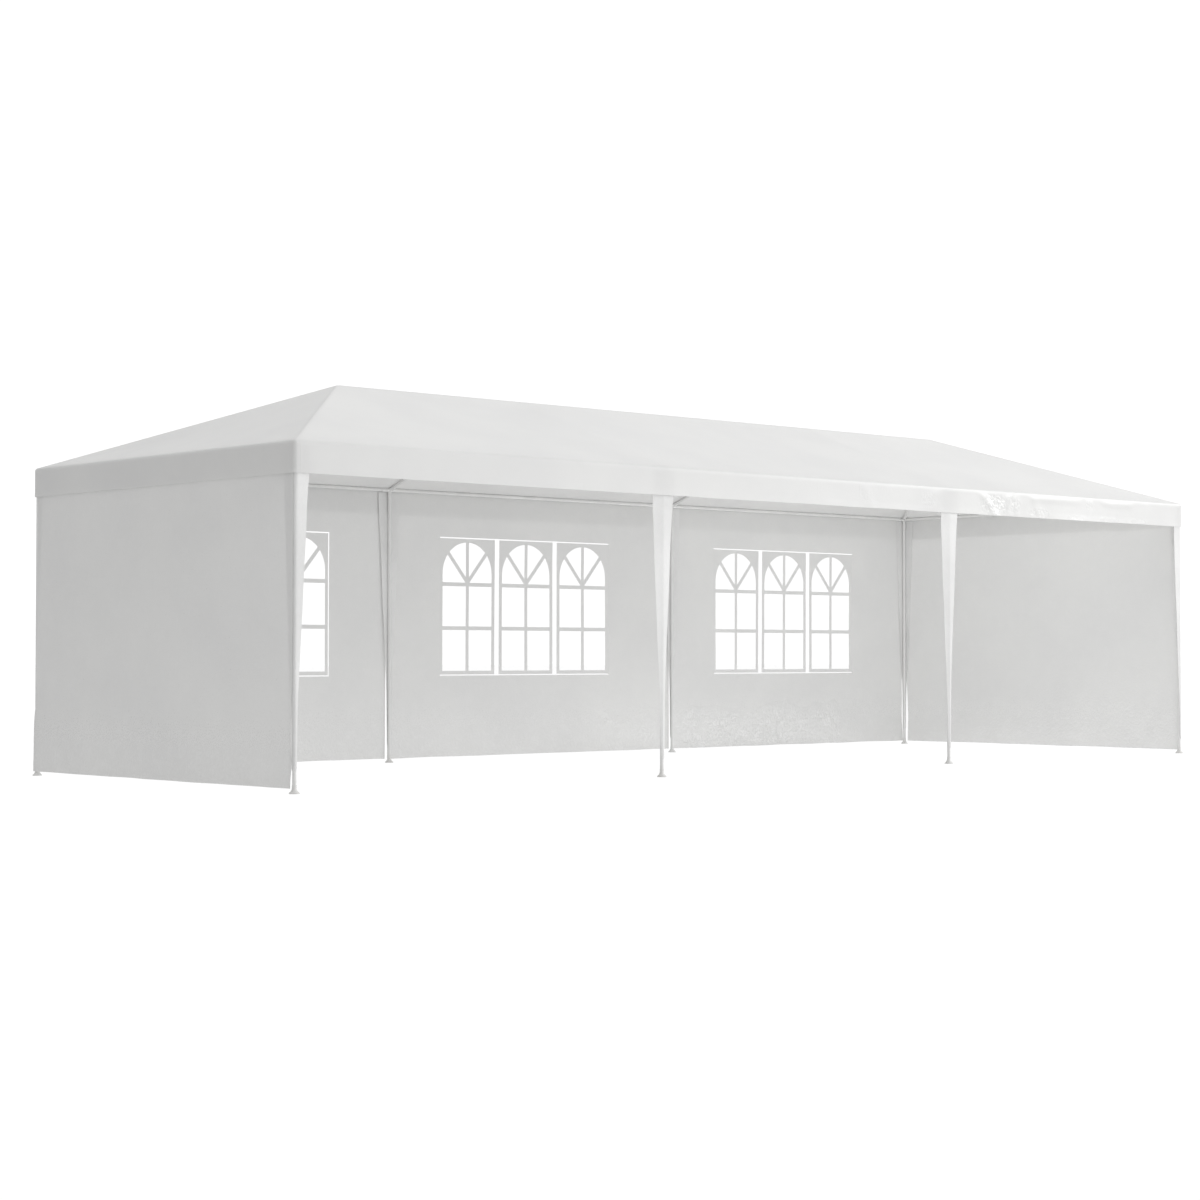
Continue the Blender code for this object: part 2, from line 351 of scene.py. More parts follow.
    def _orange_peel(self) -> bpy.types.NodeTree:
        """The soft dimples of a coating, and slow patches of more and less gloss."""
        graph, source, sink = self._start(
            "orange_peel", {"Vector": (VECTOR, None), "Size": (FLOAT, 0.002)},
            ["Height", "Patches"])
        scale = graph.math("DIVIDE", 1.0, source["Size"])
        dimples = graph.node("ShaderNodeTexNoise", {
            "Vector": source["Vector"], "Scale": scale, "Detail": 1.5}).outputs["Fac"]
        patches = graph.node("ShaderNodeTexNoise", {
            "Vector": source["Vector"], "Scale": 6.0, "Detail": 3.0}).outputs["Fac"]
        graph.tree.links.new(dimples, sink["Height"])
        graph.tree.links.new(patches, sink["Patches"])
        return graph.tree


# Finishes


def new_material(name: str) -> tuple[bpy.types.Material, Graph, Any]:
    """Start a material.

    Args:
        name: Name of the material.

    Returns:
        The material, its graph and its Principled shader.
    """
    material = bpy.data.materials.new(name)
    material.use_nodes = True
    graph = Graph(material.node_tree)
    return material, graph, material.node_tree.nodes["Principled BSDF"]


@dataclass(frozen=True)
class TarpaulinFinish:
    """White woven tape sheet with a clear coat on both faces."""

    name: str
    colour: tuple[float, float, float] = (0.86, 0.86, 0.85)
    shade: tuple[float, float, float] = (0.82, 0.82, 0.815)
    dust: tuple[float, float, float] = (0.66, 0.64, 0.60)
    roughness: float = 0.34
    weave_pitch: float = 0.0024
    weave_depth: float = 0.00003
    crinkle_size: float = 0.040
    crinkle_depth: float = 0.0060
    calm_share: float = 0.03
    fold_depth: float = 0.0005
    gloss: float = 0.50
    # Painted sheen: the next two settings lighten crumpled blotches towards near white, in place of
    # glossy highlights.
    sheen_strength: float = 0.9
    painted_sheen: tuple[float, float, float] = (0.99, 0.99, 0.985)
    # Painted shade: crinkle creases in crumpled areas are darkened towards this grey.
    crease: tuple[float, float, float] = (0.62, 0.62, 0.61)
    translucence: float = 0.12

    def build(self, effects: SurfaceEffects) -> bpy.types.Material:
        """Make the material.

        Args:
            effects: The shared node groups.

        Returns:
            The finished material, which reads the sheet's UV map in metres.
        """
        material, graph, shader = new_material(self.name)
        sheet = graph.node("ShaderNodeUVMap", uv_map="cut").outputs[0]
        place = graph.node("ShaderNodeTexCoord").outputs["Object"]
        # The crumple share places the painted sheen and the painted crease shade, as well as the
        # stronger crinkle bump and the lower roughness.
        crumpled = graph.node("ShaderNodeAttribute", attribute_name="crumple").outputs["Fac"]
        weave = graph.group(effects.weave, {"Vector": sheet, "Pitch": self.weave_pitch})
        crinkle = graph.group(effects.crinkle, {"Vector": sheet, "Size": self.crinkle_size})
        folds = graph.group(effects.storage_folds, {"Vector": sheet})
        dust = graph.group(effects.ground_dust, {"Vector": place, "Reach": 0.22})
        clouds = graph.node("ShaderNodeTexNoise", {
            "Vector": sheet, "Scale": 1.3, "Detail": 4.0}).outputs["Fac"]
        tone = graph.colour(graph.ramp(clouds, 0.3, 0.7), self.colour, self.shade)
        soiled = graph.colour(graph.math("MULTIPLY", dust.outputs["Mask"], 0.12), tone,
                              self.dust)
        # Painted sheen: lighter blotches on crumpled cloth, standing in for glossy highlights.
        blotch = graph.math("MULTIPLY_ADD", crinkle.outputs["Blotch"], 0.65, 0.35)
        sheen_mask = graph.math("MULTIPLY", crumpled, blotch)
        painted_sheen = graph.colour(graph.math("MULTIPLY", sheen_mask, self.sheen_strength), soiled, self.painted_sheen)
        # Painted shade: darker streaks along the crinkle creases of crumpled cloth.
        lines = graph.math("MULTIPLY", crumpled, crinkle.outputs["Crease"])
        crease_shaded = graph.colour(graph.math("MULTIPLY", lines, 0.75), painted_sheen, self.crease)
        share = graph.math("MULTIPLY_ADD", crumpled, 1.0 - self.calm_share, self.calm_share)
        calm = graph.math("MULTIPLY_ADD", crumpled, -0.20, self.roughness)
        rough = graph.math("MULTIPLY_ADD", crinkle.outputs["Fine"], -0.06, calm)
        height = graph.math("MULTIPLY", crinkle.outputs["Height"], share)
        steps = (
            (height, self.crinkle_depth),
            (folds.outputs["Height"], self.fold_depth),
            (weave.outputs["Height"], self.weave_depth),
        )
        normal = None
        for value, depth in steps:
            sockets = {"Height": value, "Distance": depth, "Strength": 1.0}
            if normal is not None:
                sockets["Normal"] = normal
            normal = graph.node("ShaderNodeBump", sockets).outputs[0]
        graph.tree.links.new(crease_shaded, shader.inputs["Base Color"])
        graph.tree.links.new(rough, shader.inputs["Roughness"])
        graph.tree.links.new(normal, shader.inputs["Normal"])
        shader.inputs["Specular IOR Level"].default_value = self.gloss
        self.let_light_through(graph, shader)
        return material

    def let_light_through(self, graph: Graph, shader: Any) -> None:
        """Let part of the light pass the cloth, whose two faces count as one sheet.

        Args:
            graph: The material's graph.
            shader: Its Principled shader.
        """
        through = graph.node("ShaderNodeBsdfTranslucent", {"Color": (*self.colour, 1.0)})
        leave = graph.node("ShaderNodeBsdfTranslucent", {"Color": (0.97, 0.97, 0.97, 1.0)})
        cloth = graph.node("ShaderNodeMixShader", {
            0: self.translucence, 1: shader.outputs[0], 2: through.outputs[0]})
        inside = graph.node("ShaderNodeNewGeometry").outputs["Backfacing"]
        sheet = graph.node("ShaderNodeMixShader", {
            0: inside, 1: cloth.outputs[0], 2: leave.outputs[0]})
        output = graph.tree.nodes["Material Output"]
        graph.tree.links.new(sheet.outputs[0], output.inputs["Surface"])


@dataclass(frozen=True)
class PowderCoatFinish:
    """White powder coat over steel tube."""

    name: str = "white_powder_coat"
    colour: tuple[float, float, float] = (0.90, 0.90, 0.89)
    shade: tuple[float, float, float] = (0.75, 0.75, 0.745)
    dust: tuple[float, float, float] = (0.55, 0.52, 0.47)
    roughness: float = 0.30
    peel_size: float = 0.0018
    peel_depth: float = 0.00002

    def build(self, effects: SurfaceEffects) -> bpy.types.Material:
        """Make the material from the shared node groups, and return it."""
        material, graph, shader = new_material(self.name)
        place = graph.node("ShaderNodeTexCoord").outputs["Object"]
        peel = graph.group(effects.orange_peel, {"Vector": place, "Size": self.peel_size})
        dust = graph.group(effects.ground_dust, {"Vector": place, "Reach": 0.10})
        tone = graph.colour(peel.outputs["Patches"], self.colour, self.shade)
        soiled = graph.node("ShaderNodeMix", {
            0: graph.math("MULTIPLY", dust.outputs["Mask"], 0.35), 6: tone,
            7: (*self.dust, 1.0)}, data_type="RGBA").outputs[2]
        rough = graph.math("MULTIPLY_ADD", peel.outputs["Patches"], 0.14, self.roughness)
        bump = graph.node("ShaderNodeBump", {
            "Height": peel.outputs["Height"], "Distance": self.peel_depth, "Strength": 1.0})
        graph.tree.links.new(soiled, shader.inputs["Base Color"])
        graph.tree.links.new(rough, shader.inputs["Roughness"])
        graph.tree.links.new(bump.outputs[0], shader.inputs["Normal"])
        shader.inputs["Coat Weight"].default_value = 0.2
        shader.inputs["Coat Roughness"].default_value = 0.12
        return material


@dataclass(frozen=True)
class WindowFilmFinish:
    """Clear soft film with a little haze."""

    name: str = "clear_window_film"
    tint: tuple[float, float, float] = (0.93, 0.945, 0.95)
    haze: tuple[float, float, float] = (0.97, 0.975, 0.98)
    thin: float = 0.04
    thick: float = 0.08
    roughness: float = 0.07

    def build(self, effects: SurfaceEffects) -> bpy.types.Material:
        """Make the material from the shared node groups, and return it."""
        material, graph, shader = new_material(self.name)
        sheet = graph.node("ShaderNodeUVMap", uv_map="cut").outputs[0]
        crinkle = graph.group(effects.crinkle, {"Vector": sheet, "Size": 0.16})
        haze = graph.node("ShaderNodeTexNoise", {
            "Vector": sheet, "Scale": 2.2, "Detail": 5.0}).outputs["Fac"]
        bump = graph.node("ShaderNodeBump", {
            "Height": crinkle.outputs["Height"], "Distance": 0.0012, "Strength": 1.0})
        graph.tree.links.new(graph.colour(haze, self.tint, self.haze),
                             shader.inputs["Base Color"])
        graph.tree.links.new(graph.ramp(haze, 0.3, 0.7, self.thin, self.thick),
                             shader.inputs["Alpha"])
        graph.tree.links.new(graph.ramp(haze, 0.2, 0.8, self.roughness, 0.13),
                             shader.inputs["Roughness"])
        graph.tree.links.new(bump.outputs[0], shader.inputs["Normal"])
        return material


@dataclass(frozen=True)
class ThreadFinish:
    """White sewing thread."""

    name: str = "white_thread"
    colour: tuple[float, float, float] = (0.84, 0.84, 0.83)
    shade: tuple[float, float, float] = (0.74, 0.74, 0.73)

    def build(self, effects: SurfaceEffects) -> bpy.types.Material:
        """Make the material from the shared node groups, and return it."""
        material, graph, shader = new_material(self.name)
        place = graph.node("ShaderNodeTexCoord").outputs["Object"]
        twist = graph.group(effects.orange_peel, {"Vector": place, "Size": 0.0006})
        bump = graph.node("ShaderNodeBump", {
            "Height": twist.outputs["Height"], "Distance": 0.0001, "Strength": 1.0})
        graph.tree.links.new(graph.colour(twist.outputs["Height"], self.colour, self.shade),
                             shader.inputs["Base Color"])
        graph.tree.links.new(bump.outputs[0], shader.inputs["Normal"])
        shader.inputs["Roughness"].default_value = 0.6
        return material


@dataclass
class Finishes:
    """Every material of the tent."""

    cover: bpy.types.Material
    drape: bpy.types.Material
    wall: bpy.types.Material
    printed: bpy.types.Material
    steel: bpy.types.Material
    film: bpy.types.Material
    thread: bpy.types.Material

    @classmethod
    def build(cls) -> "Finishes":
        """Make all the materials and return them."""
        effects = SurfaceEffects()
        return cls(
            cover=TarpaulinFinish("cover_tarpaulin", crinkle_depth=0.0035,
                                  sheen_strength=0.6).build(effects),
            # Painted light: the drapes are the same cloth as the cover, with a lighter colour
            # standing in for the light that reaches them.
            drape=TarpaulinFinish("drape_tarpaulin", colour=(0.93, 0.93, 0.925)).build(effects),
            wall=TarpaulinFinish("wall_tarpaulin", roughness=0.32,
                                 fold_depth=0.0003).build(effects),
            printed=TarpaulinFinish("window_print", roughness=0.38, crinkle_depth=0.002,
                                    fold_depth=0.0).build(effects),
            steel=PowderCoatFinish().build(effects),
            film=WindowFilmFinish().build(effects),
            thread=ThreadFinish().build(effects),
        )


# Sizes from the frame


@dataclass(frozen=True)
class TentPlan:
    """Sizes and places that every sub-assembly shares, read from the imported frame."""

    leg_xs: tuple[float, ...]
    half_depth: float
    eave_z: float
    ridge_z: float
    ridge_half: float
    tube_r: float
    sleeve_r: float
    sleeve_length: float
    drape_face: float
    drape_top: float
    drape_bottom: float
    wall_face: float
    wall_bottom: float
    valance_face: float
    valance_bottom: float

    @classmethod
    def from_frame(cls) -> "TentPlan":
        """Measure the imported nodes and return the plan."""
        legs = [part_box(f"leg_front_{number}") for number in range(1, 5)]
        leg_xs = tuple((low.x + high.x) / 2 for low, high in legs)
        half_depth = -(legs[0][0].y + legs[0][1].y) / 2
        tube_low, tube_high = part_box("eave_tube_front_1")
        ridge_low, ridge_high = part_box("ridge_beam")
        joint_low, joint_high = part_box("eave_joint_front_2")
        drape_low, drape_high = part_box("leg_drape_front_2")
        wall_low, wall_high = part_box("wall_rear_2")
        valance_low, valance_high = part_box("valance_front")
        sleeve_r = -half_depth - joint_low.y
        return cls(
            leg_xs=leg_xs,
            half_depth=half_depth,
            eave_z=(tube_low.z + tube_high.z) / 2,
            ridge_z=ridge_high.z - sleeve_r,
            ridge_half=(ridge_high.x - ridge_low.x) / 2 - cls.ridge_overhang(ridge_high),
            tube_r=(tube_high.z - tube_low.z) / 2,
            sleeve_r=sleeve_r,
            sleeve_length=joint_high.x - leg_xs[1],
            drape_face=-half_depth - drape_high.y,
            drape_top=drape_high.z,
            drape_bottom=drape_low.z,
            wall_face=wall_low.y - half_depth,
            wall_bottom=wall_low.z,
            valance_face=-half_depth - valance_low.y,
            valance_bottom=valance_low.z,
        )

    @staticmethod
    def ridge_overhang(ridge_high: Vector) -> float:
        """How far the hip sockets reach past the ridge's end, from the joint on the eave."""
        slope_apex = max(vert.co.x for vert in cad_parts["roof_slope_front"].data.vertices
                         if vert.co.z > ridge_high.z - 0.03)
        return ridge_high.x - slope_apex

    @property
    def half_length(self) -> float:
        """Distance from the middle of the tent to its outer legs."""
        return self.leg_xs[-1]

    @property
    def rise(self) -> float:
        """Height of the ridge tube above the eave tubes."""
        return self.ridge_z - self.eave_z

    @property
    def long_slope(self) -> float:
        """Rise over run of the two long roof slopes."""
        return self.rise / self.half_depth

    @property
    def end_slope(self) -> float:
        """Rise over run of the two hipped ends."""
        return self.rise / (self.half_length - self.ridge_half)

    def eave_point(self, x: float, side: Side) -> Vector:
        """Centre of the joint on top of a leg."""
        return Vector((x, side.value * self.half_depth, self.eave_z))

    def ridge_point(self, x: float) -> Vector:
        """Centre of the joint on the ridge that a leg's rafter reaches."""
        return Vector((max(-self.ridge_half, min(self.ridge_half, x)), 0.0, self.ridge_z))


# Mesh helpers


def register(name: str, mesh: bpy.types.Mesh, material: bpy.types.Material,
             replaced: Sequence[str] = ()) -> bpy.types.Object:
    """Add a finished piece to the tent.

    Args:
        name: Name of the piece.
        mesh: Its mesh, in place.
        material: Its finish.
        replaced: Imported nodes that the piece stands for.

    Returns:
        The new object.
    """
    mesh.name = name
    mesh.materials.clear()
    mesh.materials.append(material)
    piece = bpy.data.objects.new(name, mesh)
    bpy.context.scene.collection.objects.link(piece)
    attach(piece, BODY)
    if replaced:
        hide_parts(*replaced)
    LOG.info("%s: %d faces", name, len(mesh.polygons))
    return piece


def grid_mesh(points: np.ndarray, cut: np.ndarray, closed: bool = False,
              hole: tuple[slice, slice] | None = None,
              crumple: np.ndarray | None = None) -> bpy.types.Mesh:
    """Make a sheet of quads from rows and columns of points.

    Args:
        points: Array of rows, columns and xyz. Rows run down and columns run anticlockwise
            as seen from above, so the faces look outwards.
        cut: Flat coordinates of the faces' corners, in metres. Its first two axes are one
            entry a face, then come the four corners and uv.
        closed: Whether the last column joins the first.
        hole: Rows and columns of faces that are left out.
        crumple: Share of crumpling at each point.

    Returns:
        The mesh.
    """
    rows, columns, _ = points.shape
    across = columns if closed else columns - 1
    index = np.arange(rows * columns).reshape(rows, columns)
    upper = index[:-1]
    lower = index[1:]
    following = np.roll(index, -1, axis=1)
    quads = np.stack([upper, lower, following[1:], following[:-1]], axis=-1)[:, :across]
    kept = np.ones(quads.shape[:2], dtype=bool)
    if hole is not None:
        kept[hole] = False
    mesh = bpy.data.meshes.new("sheet")
    mesh.from_pydata(points.reshape(-1, 3).tolist(), [], quads[kept].tolist())
    layer = mesh.uv_layers.new(name="cut")
    layer.data.foreach_set("uv", np.ascontiguousarray(cut[kept], dtype=np.float32).ravel())
    if crumple is not None:
        attribute = mesh.attributes.new("crumple", "FLOAT", "POINT")
        attribute.data.foreach_set("value", crumple.astype(np.float32).ravel())
    return mesh


def face_corners(u: np.ndarray, v: np.ndarray) -> np.ndarray:
    """Flat coordinates of each quad's corners in an open grid.

    Args:
        u: Coordinate along the rows at each point.
        v: Coordinate down the columns at each point.

    Returns:
        Array of face rows, face columns, four corners and uv.
    """
    flat = np.stack([u, v], axis=-1)
    return np.stack([flat[:-1, :-1], flat[1:, :-1], flat[1:, 1:], flat[:-1, 1:]], axis=2)


def tidy_sheet(mesh: bpy.types.Mesh, merge: float = 1e-5) -> None:
    """Weld doubled points, drop loose ones and shade the sheet smooth."""
    bm = bmesh.new()
    bm.from_mesh(mesh)
    loose = [vert for vert in bm.verts if not vert.link_faces]
    bmesh.ops.delete(bm, geom=loose, context="VERTS")
    bmesh.ops.remove_doubles(bm, verts=bm.verts, dist=merge)
    bmesh.ops.dissolve_degenerate(bm, edges=bm.edges, dist=merge)
    bm.to_mesh(mesh)
    bm.free()
    mesh.shade_smooth()


def thicken(piece: bpy.types.Object, thickness: float, body_share: float = 1.0,
            hem: np.ndarray | None = None) -> None:
    """Give a sheet its thickness outwards, with a thicker hem where it has one.

    Args:
        piece: The sheet.
        thickness: Thickness of the hem, or of the whole sheet.
        body_share: Thickness of the rest of the sheet as a share of the hem's.
        hem: Share of the hem at each vertex, from 0 to 1.
    """
    shell = piece.modifiers.new("cloth", "SOLIDIFY")
    shell.thickness = thickness
    shell.offset = 1.0
    if hem is not None:
        group = piece.vertex_groups.new(name="hem")
        for share in np.unique(hem):
            group.add(np.flatnonzero(hem == share).tolist(), float(share), "REPLACE")
        shell.vertex_group = group.name
        shell.thickness_vertex_group = body_share
    flat = piece.data
    evaluated = piece.evaluated_get(bpy.context.evaluated_depsgraph_get())
    piece.data = bpy.data.meshes.new_from_object(evaluated)
    piece.modifiers.remove(shell)
    piece.vertex_groups.clear()
    piece.data.name = piece.name
    piece.data.set_sharp_from_angle(angle=math.radians(65))
    bpy.data.meshes.remove(flat)


# Geometry node trees


class NodeMaker:
    """Geometry node trees that shape what repeats or follows a path."""

    def __init__(self) -> None:
        """Build every tree."""
        self.turned_rods = self._turned_rods()
        self.stitch_row = self._stitch_row()

    @staticmethod
    def _turned_rods() -> bpy.types.NodeTree:
        """Sweep a circle along each path, with the path's own radius at each point."""
        tree = bpy.data.node_groups.new("turned_rods", "GeometryNodeTree")
        add_sockets(tree, {
            "Paths": ("NodeSocketGeometry", None), "Sides": ("NodeSocketInt", 32),
            "Fuse": ("NodeSocketBool", False), "Material": ("NodeSocketMaterial", None),
        }, {"Geometry": "NodeSocketGeometry"})
        graph = Graph(tree)
        source = graph.node("NodeGroupInput").outputs
        paths = graph.node("GeometryNodeMeshToCurve", {"Mesh": source["Paths"]})
        ring = graph.node("GeometryNodeCurvePrimitiveCircle", {
            "Resolution": source["Sides"], "Radius": 1.0})
        girth = graph.node("GeometryNodeInputNamedAttribute", {"Name": "girth"},
                           data_type="FLOAT")
        swept = graph.node("GeometryNodeCurveToMesh", {
            "Curve": paths.outputs[0], "Profile Curve": ring.outputs[0],
            "Scale": girth.outputs[0], "Fill Caps": True})
        fused = graph.node("GeometryNodeMeshBoolean", {
            1: swept.outputs[0], "Self Intersection": True}, operation="UNION",
            solver="EXACT")
        chosen = graph.node("GeometryNodeSwitch", {
            "Switch": source["Fuse"], "False": swept.outputs[0], "True": fused.outputs[0]},
            input_type="GEOMETRY")
        real = graph.node("GeometryNodeRealizeInstances", {0: chosen.outputs[0]})
        dressed = graph.node("GeometryNodeSetMaterial", {
            "Geometry": real.outputs[0], "Material": source["Material"]})
        graph.node("NodeGroupOutput", {0: dressed.outputs[0]})
        return tree

    @staticmethod
    def _stitch_row() -> bpy.types.NodeTree:
        """Lay short stitches at a steady pitch along each path."""
        tree = bpy.data.node_groups.new("stitch_row", "GeometryNodeTree")
        add_sockets(tree, {
            "Paths": ("NodeSocketGeometry", None), "Pitch": (FLOAT, 0.012),
            "Stitch Length": (FLOAT, 0.007), "Thread Radius": (FLOAT, 0.0007),
            "Seed": ("NodeSocketInt", 4), "Material": ("NodeSocketMaterial", None),
        }, {"Geometry": "NodeSocketGeometry"})
        graph = Graph(tree)
        source = graph.node("NodeGroupInput").outputs
        paths = graph.node("GeometryNodeMeshToCurve", {"Mesh": source["Paths"]})
        points = graph.node("GeometryNodeCurveToPoints", {
            "Curve": paths.outputs[0], "Length": source["Pitch"]}, mode="LENGTH")
        turn = graph.node("FunctionNodeAlignRotationToVector", {
            "Vector": points.outputs["Tangent"]}, axis="Z")
        bead = graph.node("GeometryNodeMeshUVSphere", {
            "Segments": 4, "Rings": 3, "Radius": 1.0})
        spread = graph.node("FunctionNodeRandomValue", {
            2: 0.85, 3: 1.0, "Seed": source["Seed"]}, data_type="FLOAT")
        half = graph.math("MULTIPLY", source["Stitch Length"], 0.5)
        length = graph.math("MULTIPLY", half, spread.outputs["Value"])
        size = graph.node("ShaderNodeCombineXYZ", {
            0: source["Thread Radius"], 1: source["Thread Radius"], 2: length})
        laid = graph.node("GeometryNodeInstanceOnPoints", {
            "Points": points.outputs["Points"], "Instance": bead.outputs["Mesh"],
            "Rotation": turn.outputs[0], "Scale": size.outputs[0]})
        real = graph.node("GeometryNodeRealizeInstances", {0: laid.outputs[0]})
        dressed = graph.node("GeometryNodeSetMaterial", {
            "Geometry": real.outputs[0], "Material": source["Material"]})
        graph.node("NodeGroupOutput", {0: dressed.outputs[0]})
        return tree

    @staticmethod
    def run(tree: bpy.types.NodeTree, paths: Sequence[np.ndarray], values: dict[str, Any],
            girths: Sequence[np.ndarray] | None = None) -> bpy.types.Mesh:
        """Run a tree over paths and keep the result as a plain mesh.

        Args:
            tree: The geometry node tree.
            paths: Points of each path, one row a point.
            values: Value of each named input.
            girths: Radius at each point of each path, where the tree reads it.

        Returns:
            The mesh that the tree makes.
        """
        counts = [len(path) for path in paths]
        starts = np.cumsum([0] + counts[:-1])
        edges = [(start + step, start + step + 1)
                 for start, count in zip(starts, counts) for step in range(count - 1)]
        skeleton = bpy.data.meshes.new("paths")
        skeleton.from_pydata(np.concatenate(paths).tolist(), edges, [])
        if girths is not None:
            attribute = skeleton.attributes.new("girth", "FLOAT", "POINT")
            attribute.data.foreach_set("value", np.concatenate(girths).astype(np.float32))
        carrier = bpy.data.objects.new("paths", skeleton)
        bpy.context.scene.collection.objects.link(carrier)
        modifier = carrier.modifiers.new(tree.name, "NODES")
        modifier.node_group = tree
        sockets = {item.name: item.identifier for item in tree.interface.items_tree
                   if item.in_out == "INPUT"}
        for name, value in values.items():
            modifier[sockets[name]] = value
        evaluated = carrier.evaluated_get(bpy.context.evaluated_depsgraph_get())
        mesh = bpy.data.meshes.new_from_object(evaluated)
        carrier.modifiers.remove(modifier)
        bpy.data.objects.remove(carrier)
        bpy.data.meshes.remove(skeleton)
        return mesh


@dataclass
class Workshop:
    """What every sub-assembly is made with."""

    plan: TentPlan
    finishes: Finishes
    nodes: NodeMaker

    def stitches(self, name: str, paths: Sequence[np.ndarray], slot: Slot,
                 pitch: float = 0.012) -> bpy.types.Object:
        """Sew rows of stitches.

        Args:
            name: Name of the piece.
            paths: Points along the middle of the cloth, one array a row of stitches.
            slot: Slot of the sheet that is sewn. It is not used.
            pitch: Distance from one stitch to the next.

        Returns:
            One piece that holds all the stitches.
        """
        mesh = self.nodes.run(self.nodes.stitch_row, paths, {
            "Pitch": pitch, "Stitch Length": pitch * 0.62, "Thread Radius": 0.0008,
            "Material": self.finishes.thread})
        mesh.shade_smooth()
        return register(name, mesh, self.finishes.thread)

    def rods(self, name: str, rods: Sequence[tuple[np.ndarray, np.ndarray]], fuse: bool,
             replaced: Sequence[str]) -> bpy.types.Object:
        """Turn round steel pieces.

        Args:
            name: Name of the piece.
            rods: Path and radii of each rod.
            fuse: Whether crossing rods become one body.
            replaced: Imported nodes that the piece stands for.

        Returns:
            The finished piece.
        """
        paths, girths = zip(*rods)
        mesh = self.nodes.run(self.nodes.turned_rods, paths, {
            "Sides": 32, "Fuse": fuse, "Material": self.finishes.steel}, girths)
        bm = bmesh.new()
        bm.from_mesh(mesh)
        bmesh.ops.remove_doubles(bm, verts=bm.verts, dist=2e-5)
        bmesh.ops.recalc_face_normals(bm, faces=bm.faces)
        bm.to_mesh(mesh)
        bm.free()
        mesh.shade_smooth()
        mesh.set_sharp_from_angle(angle=math.radians(38))
        return register(name, mesh, self.finishes.steel, replaced)


# Steel frame


